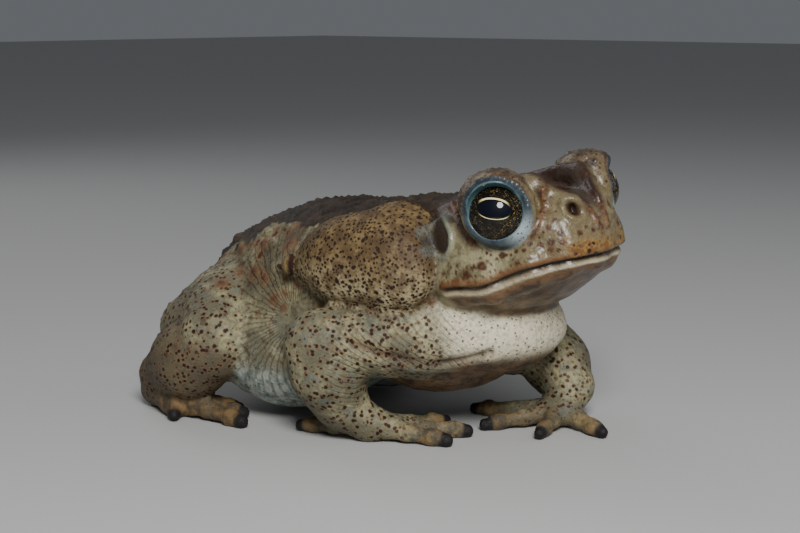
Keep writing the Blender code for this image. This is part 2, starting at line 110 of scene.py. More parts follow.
CROWN = ((7.5, -11, 10), (9, -8, 12.5), (8.6, 0, 14), (10, 9, 13.5), (12.5, 16, 11.2), (13, 21, 10.6),
         (14, 27, 8))
SNOUT_SPOTS = ((12.3, -12.8, -0.3), (10.7, -13.9, 0.9), (10.8, -15, -2.2), (11.3, -15.2, -4.3),
               (12.9, -13, -3.8), (13.3, -12.6, -5.5), (7.1, -17.5, -3.3))
LIP_SPOTS = ((19.1, -2.2, -4.1), (22.4, 2.5, -5.4), (24, 6.7, -6.8), (24.8, 10.3, -8.1), (25.2, 14.5, -8.4))

# Points on the body, the same on both sides.
FLANK_SPOTS = ((27.2, 27, 48.5), (30.4, 37.5, 40.7), (29.4, 44.1, 39), (31.8, 31.9, 39.8),
               (25.3, 39.4, 47.9), (23.4, 49.9, 44.4), (35.8, 45.1, 37.1))
THROAT_FOLD = ((37.4, -5.6, 28.6), (33.3, -11.4, 25.7), (28.8, -16.8, 24.2), (20.2, -21, 22.9),
               (15.2, -32.2, 26.3))
GLAND_TIP = ((33.6, 19.5, 45.0), (31.2, 27.5, 43.2))
FAN_Y, FAN_Z, FAN_STEP, CHEST_STEP = 19.0, 31.0, 6.5, 1.3

ROUGH_VOXEL, FINE_VOXEL = 1.6, 1.25
GRADIENT_STEP = 0.05
RAY_LENGTH, RAY_STEPS = 60.0, 241
BEAD_R, BEAD_STEP, OFF_THE_RIM = 0.62, 8.0, 999
NO_TURN = (0, 0, 0)
SEED = 11
SIDES = (("left", 1), ("right", -1))
FLESH = ["torso", "throat", "head", "lower_jaw"] + [
    part + word for part in ("parotoid_", "upper_eyelid_", "lower_eyelid_", "tympanum_", "upper_arm_",
                             "forearm_", "hand_", "thigh_", "shank_", "foot_")
    for word, _ in SIDES]

# The stage is in metres, but for the camera's place. A lamp has its place, its aim, its width and its watts.
FLOOR_SIZE = 4.0
WORLD_COLOR, WORLD_STRENGTH = (0.80, 0.84, 0.90, 1), 0.16
LAMPS = (("key", (-0.36, -0.40, 0.42), (0, -0.01, 0.04), 0.22, 4.7),
         ("fill", (0.55, -0.45, 0.35), (0, 0, 0.03), 0.6, 0.5),
         ("back", (0.10, 0.60, 0.50), (0, 0, 0.04), 0.5, 0.8))
CAMERA_AT = (-313.1, -270.1, 111.7)
CAMERA_AZIMUTH, CAMERA_ELEVATION = -48.0, 9.5
LENS, SENSOR, NEAR_CLIP = 70.0, 36.0, 0.01


def turn(rx=0.0, ry=0.0, rz=0.0):
    a, b, c = (math.radians(v) for v in (rx, ry, rz))
    x = np.array([[1, 0, 0], [0, math.cos(a), -math.sin(a)], [0, math.sin(a), math.cos(a)]])
    y = np.array([[math.cos(b), 0, math.sin(b)], [0, 1, 0], [-math.sin(b), 0, math.cos(b)]])
    z = np.array([[math.cos(c), -math.sin(c), 0], [math.sin(c), math.cos(c), 0], [0, 0, 1]])
    return z @ y @ x


HEAD = (np.array(HEAD_AT), turn(-HEAD_PITCH, -HEAD_ROLL, -HEAD_YAW))
WORLD = (np.zeros(3), np.eye(3))


def in_head(p):
    return (p - HEAD[0]) @ HEAD[1]


def head_way(v):
    return HEAD[1] @ np.array(v, float)


def head_point(v):
    return HEAD[0] + head_way(v)


def sided(v, side):
    """A point or way of the left side, laid on either side."""
    return np.array(v) * (side, 1, 1)


def unit(v):
    v = np.array(v, float)
    return v / np.linalg.norm(v)


def away(p, c):
    """Distance of each point from c."""
    return np.linalg.norm(p - c, axis=1)


def fade(x, a, b):
    """0 at a, 1 at b, smooth between."""
    t = np.clip((x - a) / (b - a), 0, 1)
    return t * t * (3 - 2 * t)


def bell(x, width):
    return np.exp(-(x / width) ** 2)


def ball(bm, at, radius, cuts):
    bmesh.ops.create_icosphere(bm, subdivisions=cuts, radius=radius, matrix=Matrix.Translation(Vector(at)))


def added(name, data):
    """A new object in the scene."""
    ob = bpy.data.objects.new(name, data)
    bpy.context.scene.collection.objects.link(ob)
    return ob


class Lobe:
    """An ellipsoid, blended into the ones before it over k millimetres."""

    def __init__(self, at, radii, k=4.0, tilt=NO_TURN, frame=WORLD):
        self.at = frame[0] + frame[1] @ np.array(at, float)
        self.axes = frame[1] @ turn(*tilt)
        self.radii, self.k = np.array(radii, float), k

    def dist(self, p):
        q = (p - self.at) @ self.axes / self.radii
        n = np.linalg.norm(q, axis=1)
        return n * (n - 1) / np.maximum(np.linalg.norm(q / self.radii, axis=1), 1e-9)

    def add(self, bm):
        m = np.eye(4)
        m[:3, :3], m[:3, 3] = self.axes @ np.diag(self.radii), self.at
        bmesh.ops.create_icosphere(bm, subdivisions=4, radius=1.0, matrix=Matrix(m.tolist()))


class Cone:
    """A round cone from a to b, blended in over k millimetres."""

    def __init__(self, a, b, ra, rb, k=3.0, frame=WORLD):
        self.a, self.b = (frame[0] + frame[1] @ np.array(v, float) for v in (a, b))
        self.ra, self.rb, self.k = ra, rb, k

    def dist(self, p):
        axis = self.b - self.a
        length = np.linalg.norm(axis)
        lean = max(-0.99, min(0.99, (self.ra - self.rb) / length))
        side = math.sqrt(1 - lean * lean)
        rel = p - self.a
        z = rel @ (axis / length)
        x = np.linalg.norm(rel - np.outer(z, axis / length), axis=1)
        t = side * z - lean * x
        return np.where(t < 0, np.hypot(x, z) - self.ra,
                        np.where(t > side * length, np.hypot(x, z - length) - self.rb,
                                 side * x + lean * z - self.ra))

    def add(self, bm):
        a, b = Vector(self.a), Vector(self.b)
        ball(bm, a, self.ra, 3)
        ball(bm, b, self.rb, 3)
        m = Matrix.Translation((a + b) / 2) @ (b - a).to_track_quat("Z", "Y").to_matrix().to_4x4()
        bmesh.ops.create_cone(bm, cap_ends=True, segments=24, radius1=self.ra, radius2=self.rb,
                              depth=(b - a).length, matrix=m)


class Ring:
    """A rolled rim round an axis, thicker towards one side."""

    def __init__(self, at, axis, major, minor, heavy, extra, k):
        self.at, self.axis, self.heavy = np.array(at, float), unit(axis), unit(heavy)
        self.major, self.minor, self.extra, self.k = major, minor, extra, k

    def dist(self, p):
        q = p - self.at
        h = q @ self.axis
        flat = q - h[:, None] * self.axis
        rho = np.linalg.norm(flat, axis=1)
        more = self.extra * fade((flat @ self.heavy) / np.maximum(rho, 1e-6), -0.2, 1.0)
        return np.hypot(rho - self.major - 0.5 * more, h + 0.4 * more) - (self.minor + more)

    def add(self, bm):
        wide = unit(np.cross(self.axis, (0.0, 0.3, 1.0)))
        tall = np.cross(self.axis, wide)
        for a in np.linspace(0, 2 * math.pi, 32, endpoint=False):
            c = self.at + (wide * math.cos(a) + tall * math.sin(a)) * self.major
            ball(bm, c, self.minor + 0.4, 2)


def both(at, radii, k=4.0, tilt=NO_TURN, frame=WORLD):
    """A lobe and its mirror image."""
    (x, y, z), (rx, ry, rz) = at, tilt
    return [Lobe(at, radii, k, tilt, frame), Lobe((-x, y, z), radii, k, (rx, -ry, -rz), frame)]


def one(at, radii, side, k=4.0, tilt=NO_TURN, frame=WORLD):
    return [both(at, radii, k, tilt, frame)[0 if side > 0 else 1]]


def ridge(a, b, ra, rb, k, frame):
    """A round cone and its mirror image."""
    return [Cone(a, b, ra, rb, k, frame), Cone((-a[0],) + a[1:], (-b[0],) + b[1:], ra, rb, k, frame)]


def rim(line, k):
    return [cone for a, b in zip(line, line[1:]) for cone in ridge(a[:3], b[:3], a[3], b[3], k, HEAD)]


def smooth_min(a, b, k):
    h = np.maximum(k - np.abs(a - b), 0) / k
    return np.minimum(a, b) - h * h * k / 4


def field(lobes, p):
    """Distance to the blended lobes, below zero inside."""
    d = lobes[0].dist(p)
    for lobe in lobes[1:]:
        d = smooth_min(d, lobe.dist(p), lobe.k)
    return d


def gradient(f, p, d):
    return np.stack([f(p + v) - d for v in np.eye(3) * GRADIENT_STEP], 1) / GRADIENT_STEP


def settle(p, f, rounds, limit=1.5):
    """Moves points onto the surface where f is zero."""
    for _ in range(rounds):
        d = f(p)
        g = gradient(f, p, d)
        p = p - np.clip(d / np.maximum((g * g).sum(1), 0.1), -limit, limit)[:, None] * g
    return p


def between(a, b, t):
    return tuple(u + (v - u) * t for u, v in zip(a, b))


def trunk_lobes():
    return ([Lobe((0, 20, 37), (32, 33, 20.6), 8, (-5, 0, 0)), Lobe((0, -6, 42), (26, 22, 20.4), 12),
             Lobe((0, 40, 35), (28, 30, 20.5), 12, (-13, 0, 0))]
            + both((16, 34, 20.3), (24.5, 26, 18.5), 8)
            + [Lobe((0, 58, 29), (21, 18, 17.5), 12), Lobe((0, -5, 22.5), (24, 20, 12.5), 8)])


def throat_lobes():
    return [Lobe((0, -22, 29.5), (20.5, 16.5, 12), 4)] + both((13, -12, 30), (11.5, 14, 12), 6)


def head_lobes():
    return ([Lobe((0, 6, -1), (20.5, 20, 11), 6, frame=HEAD), Lobe((0, 18, 2), (19, 17, 12), 8, frame=HEAD)]
            + both((12.5, 13, -7), (12, 14, 9), 6, frame=HEAD)
            + both((19.6, 15.2, 3.0), (2.6, 4.0, 5.6), 2.5, frame=HEAD)
            + [Lobe((0, -8.5, -2.5), (13, 10.3, 8.3), 6, frame=HEAD)]
            + rim(UPPER_LIP, 4)
            + ridge((9.0, -8, 9.2), (5.0, -15.5, 4.2), 2.2, 1.8, 3, HEAD)
            + ridge((9.0, -8, 11.2), (10.0, 10, 12.5), 2.2, 2.0, 3, HEAD))


def jaw_lobes():
    return [Lobe((0, 4.5, -12.6), (17.5, 19.5, 6.5), 3, (-15, 0, 0), HEAD)] + rim(LOWER_LIP, 3)


def brow_lobes(side):
    return (one((17.0, -1.6, 11.2), (7.8, 8.6, 5.8), side, 3, (0, 8, 0), HEAD)
            + one((21.4, -3.0, 10.4), (4.2, 6.2, 3.4), side, 2.4, (0, 20, 0), HEAD))


def gland_lobes(side):
    return (one((26, -2.4, 46.5), (9.5, 18.4, 12.5), side, 2, (8, 0, -6))
            + one((17, -6.5, 54), (8.5, 9.5, 8.5), side, 9)
            + [Cone((28 * side, 8, 46), (31 * side, 20, 44.5), 8.5, 3, 8)])


def arm_lobes(arm):
    s, e, w, thin = arm["shoulder"], arm["elbow"], arm["wrist"], arm["thin"]
    return [Cone(s, e, SHOULDER_R * thin, ELBOW_R * thin),
            Cone(e, between(e, w, 0.5), ELBOW_R * thin, FOREARM_R * thin, 2),
            Cone(between(e, w, 0.45), w, FOREARM_R * thin, WRIST_R * thin, 4)]


def digits(root, tips, lift, root_r):
    """A finger or toe from the root to each tip, arched by lift and tapering to its last joint."""
    lobes = []
    for x, y, r in tips:
        tip = (x, y, TOE_AXIS)
        mid, last = between(root, tip, 0.5), between(root, tip, 0.86)
        mid, last = (mid[0], mid[1], TOE_AXIS + lift), (last[0], last[1], TOE_AXIS + 0.5)
        lobes += [Cone(root, mid, root_r, r * 0.95, 2.0), Cone(mid, last, r * 0.95, r * 0.85, 1.2),
                  Cone(last, tip, r * 0.95, r * 0.8, 1.0)]
    return lobes


def hand_lobes(arm):
    return ([Cone(arm["wrist"], arm["palm"], WRIST_R * arm["thin"], PALM_R, 3)]
            + digits(arm["palm"], arm["tips"], 1.3, 3.6))


def mirrored(v, side):
    return (-v[0] * side,) + tuple(v[1:])


def leg_points(side):
    places = {k: mirrored(v, side) for k, v in LEG.items() if k != "tips"}
    return {**places, "tips": tuple(mirrored(tip, side) for tip in LEG["tips"])}


def thigh_lobes(side):
    g = leg_points(side)
    hip, knee = g["hip"], g["knee"]
    rear = between(hip, g["ankle"], 0.72)
    return [Cone(hip, between(hip, knee, 0.55), 12.5, THIGH_R, 5),
            Cone(between(hip, knee, 0.5), knee, THIGH_R, KNEE_R, 4),
            Cone(between(hip, knee, 0.3), (rear[0], rear[1] - 3, rear[2] + 7), 11, 9, 5)]


def shank_lobes(side):
    g = leg_points(side)
    x, y, z = g["knee"]
    low = (x + 1.5 * side, y, z - 3)
    return [Cone(low, between(low, g["ankle"], 0.4), KNEE_R * 0.86, CALF_R, 3),
            Cone(between(low, g["ankle"], 0.35), g["ankle"], CALF_R, ANKLE_R, 4)]


def foot_lobes(side):
    g = leg_points(side)
    return ([Cone(g["ankle"], g["heel"], ANKLE_R, HEEL_R, 3), Cone(g["heel"], g["ball"], HEEL_R, 4.2, 3)]
            + digits(g["ball"], g["tips"], 1.6, 3.4))


def eye_frame(side):
    """The eyeball's centre, its outward axis, and the ways to the front and up along its face."""
    out = unit(head_way(sided(EYE_AXIS, side)))
    front = head_way((0.0, -1.0, -0.12))
    front = unit(front - out * (front @ out))
    up = np.cross(front, out)
    return head_point(sided(EYE_AT, side)), out, front, up * np.sign(up[2])


def lid_ring(side):
    c, out, front, up = eye_frame(side)
    axis = unit(out - up * 0.10)
    low_front = unit(front * 0.85 - up * 0.35)
    return [Ring(c + out * 3.6 + up * 0.5, axis, 7.5, 1.0, low_front, 0.75, 0.9),
            Ring(c + out * 4.2 + up * 0.5, axis, 7.3, 0.55, unit(up - front * 0.45), 0.9, 1.2),
            Ring(c + out * 1.9 + up * 0.3, axis, 7.6, 1.2, low_front, 0.4, 1.6)]


def mouth_height(q):
    """Height of the closed mouth in the head's frame: a sag that lifts to the corner, and a low front."""
    sag = 1.5 * np.exp(-((q[:, 1] - 3.5) / 6.5) ** 2)
    return MOUTH_FRONT_Z - sag - 0.55 * fade(q[:, 1], -13.5, -17.5)


class Body:
    """The toad's flesh as groups of lobes, each with the width of its crease against the rest."""

    def __init__(self, eye_r):
        self.eye_r = eye_r
        self.groups = {"trunk": (trunk_lobes(), 0), "throat": (throat_lobes(), 2.2),
                       "head": (head_lobes(), 4.5), "jaw": (jaw_lobes(), 2.0)}
        for word, side in SIDES:
            arm = LEFT_ARM if side > 0 else RIGHT_ARM
            for part, lobes, crease in (
                    ("brow_", brow_lobes(side), 1.8), ("gland_", gland_lobes(side), 1.8),
                    ("arm_", arm_lobes(arm), 2.2), ("hand_", hand_lobes(arm), 2.6),
                    ("thigh_", thigh_lobes(side), 2.6), ("shank_", shank_lobes(side), 1.4),
                    ("foot_", foot_lobes(side), 1.6), ("ring_", lid_ring(side), 1.3)):
                self.groups[part + word] = (lobes, crease)

    def apart(self, p):
        return {name: field(lobes, p) for name, (lobes, _) in self.groups.items()}

    def joined(self, p):
        """Distance to the whole skin, with an eye socket cut before each ring goes on."""
        d = field(self.groups["trunk"][0], p)
        for name, (lobes, k) in list(self.groups.items())[1:]:
            if name.startswith("ring_"):
                c, out, _, _ = eye_frame(1 if name.endswith("left") else -1)
                socket = away(p, c) - (self.eye_r - SOCKET_OVERLAP)
                opening = away(p, c + out * OPENING_OUT - HEAD[1][:, 2] * OPENING_DROP) - OPENING_R
                d = -smooth_min(-d, np.minimum(socket, opening), 0.8)
            d = smooth_min(d, field(lobes, p), k)
        return d


def surface_point(lobes, start, way):
    """Where a ray from inside leaves the field, and the outward direction there."""
    way = unit(way)
    t = np.linspace(0, RAY_LENGTH, RAY_STEPS)
    d = field(lobes, np.array(start) + t[:, None] * way)
    i = int(np.argmax(d > 0))
    f = partial(field, lobes)
    at = settle((np.array(start) + (t[i] - d[i]) * way)[None], f, 4)
    return at[0], unit(gradient(f, at, f(at))[0])


def feed(tree, slot, value):
    """Links a paint to a socket, or sets the socket's constant."""
    if isinstance(value, Paint):
        tree.links.new(value.socket, slot)
    elif slot.type == "RGBA":
        slot.default_value = (*value[:3], 1.0)
    else:
        slot.default_value = value


def maths(kind, reflected=False):
    """A method that works one maths node on a paint and whatever follows it."""
    def method(paint, *others):
        node = paint.tree.nodes.new("ShaderNodeMath")
        node.operation = kind
        values = (paint,) + others
        for slot, value in zip(node.inputs, values[::-1] if reflected else values):
            feed(paint.tree, slot, value)
        return Paint(paint.tree, node.outputs[0])
    return method


class Paint:
    """Wraps a shader socket so that maths is written as Python expressions."""

    def __init__(self, tree, socket):
        self.tree, self.socket = tree, socket

    __add__ = __radd__ = maths("ADD")
    __mul__ = __rmul__ = maths("MULTIPLY")
    __sub__, __rsub__ = maths("SUBTRACT"), maths("SUBTRACT", True)
    __truediv__, __rtruediv__ = maths("DIVIDE"), maths("DIVIDE", True)
    __pow__, __rpow__ = maths("POWER"), maths("POWER", True)
    __abs__, sine, most = maths("ABSOLUTE"), maths("SINE"), maths("MAXIMUM")


class Finish:
    """A procedural material and the few moves that build one."""

    def __init__(self, name):
        self.mat = bpy.data.materials.new(name)
        self.mat.use_nodes = True
        self.tree = self.mat.node_tree
        self.shader = self.tree.nodes["Principled BSDF"]

    def node(self, kind, settings=None, out=0, **values):
        """Any node: its settings first, then its sockets by name, or by number as i0, i1 and so on."""
        node = self.tree.nodes.new(kind)
        for key, value in (settings or {}).items():
            setattr(node, key, value)
        for key, value in values.items():
            number = key[0] == "i" and key[1:].isdigit()
            feed(self.tree, node.inputs[int(key[1:]) if number else key.replace("_", " ").title()], value)
        return Paint(self.tree, node.outputs[out])

    def place(self):
        """Object coordinates."""
        return self.node("ShaderNodeTexCoord", out=3)

    def attribute(self, name):
        return self.node("ShaderNodeAttribute", {"attribute_name": name})

    def masks(self, name):
        """The three masks kept in one colour attribute."""
        kept = self.attribute(name)
        return [self.node("ShaderNodeSeparateColor", out=i, i0=kept) for i in range(3)]

    def noise(self, at, scale, detail, rough=0.5):
        return self.node("ShaderNodeTexNoise", i0=at, scale=scale, detail=detail, roughness=rough)

    def cells(self, at, scale):
        return self.node("ShaderNodeTexVoronoi", i0=at, scale=scale)

    def band(self, value, low, high, to_low=0.0, to_high=1.0):
        return self.node("ShaderNodeMapRange", {"interpolation_type": "SMOOTHSTEP"}, i0=value, i1=low,
                         i2=high, i3=to_low, i4=to_high)

    def mix(self, mask, a, b):
        return self.node("ShaderNodeMix", {"data_type": "RGBA"}, out=2, i0=mask, i6=a, i7=b)

    def patches(self, value, low, high, a, b):
        """Colour a where value is low and b where it is high."""
        return self.mix(self.band(value, low, high), a, b)

    def into(self, **values):
        for key, value in values.items():
            feed(self.tree, self.shader.inputs[key.replace("_", " ").title().replace("Ior", "IOR")], value)


def scatter(rng, lobes, rays, sizes, others, clear, spread=1.0):
    """Wart places along rays, off the neighbours and off one another."""
    found = []
    for start, way in rays:
        at, up = surface_point(lobes, start, way)
        r = sizes[0] + (sizes[1] - sizes[0]) * rng.random() ** 1.6
        if any(field(o, at[None])[0] < r + clear for o in others):
            continue
        if any(np.linalg.norm(at - q) < (r + s) * spread + 0.8 for q, _, s in found):
            continue
        found.append((at, up, r))
    return found


def back_warts(count=32, sizes=(1.3, 2.6)):
    rng = random.Random(SEED)
    others = [head_lobes(), arm_lobes(RIGHT_ARM), arm_lobes(LEFT_ARM)]
    others += [lobes(side) for lobes in (gland_lobes, thigh_lobes, shank_lobes) for _, side in SIDES]
    rays = []
    for _ in range(6 * count):
        a = math.radians(rng.uniform(-84, 84))
        y = rng.uniform(-6, 68)
        rays.append(((0, min(y, 52), 28), (math.sin(a), 0.12 + max(0, y - 52) / 14, math.cos(a))))
    return scatter(rng, trunk_lobes(), rays, sizes, others, 0.6)[:count]


def brow_warts(side, count=8, sizes=(0.9, 1.5)):
    rng = random.Random(SEED + 7 + side)
    start = head_point((EYE_AT[0] * side, -1.5, 8.6))
    rays = []
    for _ in range(12 * count):
        a, b = rng.uniform(-1.0, 1.0), rng.uniform(-1.1, 1.1)
        rays.append((start, head_way((side * math.sin(a) + 0.2 * side, math.sin(b), 1.0))))
    eye = [Lobe(sided(EYE_AT, side), (8.0,) * 3, frame=HEAD)]
    return scatter(rng, brow_lobes(side), rays, sizes, [head_lobes(), eye], 0.3, 0.85)[:count]


def points(mesh):
    p = np.empty(len(mesh.vertices) * 3)
    mesh.vertices.foreach_get("co", p)
    return p.reshape(-1, 3)


def normals(mesh):
    n = np.empty(len(mesh.vertices) * 3, dtype=np.float32)
    mesh.vertex_normals.foreach_get("vector", n)
    return n.reshape(-1, 3).astype(float)


def place(mesh, p):
    mesh.vertices.foreach_set("co", np.ascontiguousarray(p).ravel())
    mesh.update()


def mesh_of(bm, name):
    mesh = bpy.data.meshes.new(name)
    bm.to_mesh(mesh)
    bm.free()
    return mesh


def remeshed(mesh, voxel):
    ob = added("rough", mesh)
    step = ob.modifiers.new("remesh", "REMESH")
    step.mode, step.voxel_size = "VOXEL", voxel
    graph = bpy.context.evaluated_depsgraph_get()
    graph.update()
    out = bpy.data.meshes.new_from_object(ob.evaluated_get(graph))
    bpy.data.objects.remove(ob)
    bpy.data.meshes.remove(mesh)
    return out


def refined(mesh, wanted):
    """Quarters the faces whose corners are all wanted."""
    bm = bmesh.new()
    bm.from_mesh(mesh)
    edges = {e for f in bm.faces if all(wanted[v.index] for v in f.verts) for e in f.edges}
    bmesh.ops.subdivide_edges(bm, edges=list(edges), cuts=1, use_grid_fill=True)
    bmesh.ops.triangulate(bm, faces=[f for f in bm.faces if len(f.verts) > 4])
    bm.to_mesh(mesh)
    bm.free()


def grain(p, scale, seed, octaves=2):
    """Soft noise from -1 to 1 at each point, with features about scale millimetres wide."""
    shift = Vector((seed * 7.1, seed * 3.3, seed * 5.7))
    return np.array([noise.fractal(Vector(v) / scale + shift, 0.6, 2.0, octaves) for v in p])


def domes(p, places, lift, wide=1.25):
    """How far low domes at the places raise each point."""
    rise = np.zeros(len(p))
    for at, _, r in places:
        near = np.abs(p - at).max(1) < r * wide
        t = away(p[near], at) / (r * wide)
        rise[near] = np.maximum(rise[near], r * lift * np.clip(1 - t * t, 0, 1) ** 1.6)
    return rise


def sprinkle(rng, p, up, weight, count, sizes, spread, taken=()):
    """Small warts on the skin's own points, thick where weight is high."""
    found = []
    where = [at for at, _, _ in taken]
    sizes_there = [r for _, _, r in taken]
    allowed = np.flatnonzero(weight > 0.02)
    for _ in range(count * 12):
        i = allowed[rng.randrange(len(allowed))]
        if rng.random() > weight[i]:
            continue
        r = sizes[0] + (sizes[1] - sizes[0]) * rng.random() ** 2.2
        if where and (away(np.array(where), p[i]) < (np.array(sizes_there) + r) * spread).any():
            continue
        where.append(p[i])
        sizes_there.append(r)
        found.append((p[i], up[i], r))
        if len(found) == count:
            break
    return found


def paint(mesh, name, red, green, blue):
    layer = mesh.color_attributes.new(name, "FLOAT_COLOR", "POINT")
    rgba = np.stack([red, green, blue, np.ones(len(red))], 1).astype(np.float32)
    layer.data.foreach_set("color", np.clip(rgba, 0, 1).ravel())


def keep_vectors(mesh, name, vectors):
    layer = mesh.attributes.new(name, "FLOAT_VECTOR", "POINT")
    layer.data.foreach_set("vector", vectors.astype(np.float32).ravel())


def from_line(q, line):
    """Distance from each point to a run of straight stretches."""
    best = np.full(len(q), 1e9)
    for a, b in zip(line, line[1:]):
        a, b = np.array(a, float), np.array(b, float)
        t = np.clip((q - a) @ (b - a) / ((b - a) @ (b - a)), 0, 1)
        best = np.minimum(best, np.linalg.norm(q - a - t[:, None] * (b - a), axis=1))
    return best


def spotted(p, places, soft):
    """One on round spots, zero off them, with a soft edge."""
    mask = np.zeros(len(p))
    for at, r in places:
        near = np.abs(p - at).max(1) < r * 1.5
        mask[near] = np.maximum(mask[near], fade(away(p[near], at) / r, 1 + soft, 1 - soft))
    return mask


def eye_places(p, side):
    """Round one eye: distance off its axis, height along it, and bearing, 0 in front and 90 above."""
    c, out, front, up = eye_frame(side)
    rel = p - c
    h = rel @ out
    rho = np.linalg.norm(rel - h[:, None] * out, axis=1)
    return rho, h, np.degrees(np.arctan2(rel @ up, rel @ front))


def from_eyes(p):
    """Distance from each point to the nearer eye's centre."""
    return np.minimum(*(away(p, eye_frame(side)[0]) for _, side in SIDES))


def lid_beads(p, up):
    """The row of small beads along each brow's rim, over the eye."""
    found = []
    for _, side in SIDES:
        rho, h, bearing = eye_places(p, side)
        off = np.abs(rho - 8.1) * 2 - h + ((h < 2) | (rho > 10)) * OFF_THE_RIM
        for b in np.arange(8, 190, BEAD_STEP):
            i = int(np.argmin(np.abs(bearing - b) * 0.7 + off))
            found.append((p[i], up[i], BEAD_R))
    return found


def folded(p):
    """Points with both sides laid over the left one."""
    return np.abs(p[:, :1]) * (1, 0, 0) + p * (0, 1, 1)


def bare_skin(body):
    """A closed mesh over all the flesh, finer on the head, hands, feet and round the eyes."""
    bm = bmesh.new()
    for lobes, _ in body.groups.values():
        for lobe in lobes:
            lobe.add(bm)
    mesh = remeshed(mesh_of(bm, "skin_rough"), ROUGH_VOXEL)
    place(mesh, settle(points(mesh), body.joined, 3))
    mesh = remeshed(mesh, FINE_VOXEL)
    p = points(mesh)
    near = body.apart(p)
    qx, qy, qz = in_head(p).T
    fine = (qy < 17) & (np.abs(qx) < 30) & (qz > -14)
    for word, _ in SIDES:
        fine |= (near["hand_" + word] < 0.8) | (near["foot_" + word] < 0.8)
    refined(mesh, fine)
    p = settle(points(mesh), body.joined, 2, 0.8)
    place(mesh, p)
    _, qy, qz = in_head(p).T
    refined(mesh, (from_eyes(p) < 11.8) | ((qy < -9) & (qz > -12)))
    p = settle(points(mesh), body.joined, 3, 0.8)
    place(mesh, p)
    return mesh, p


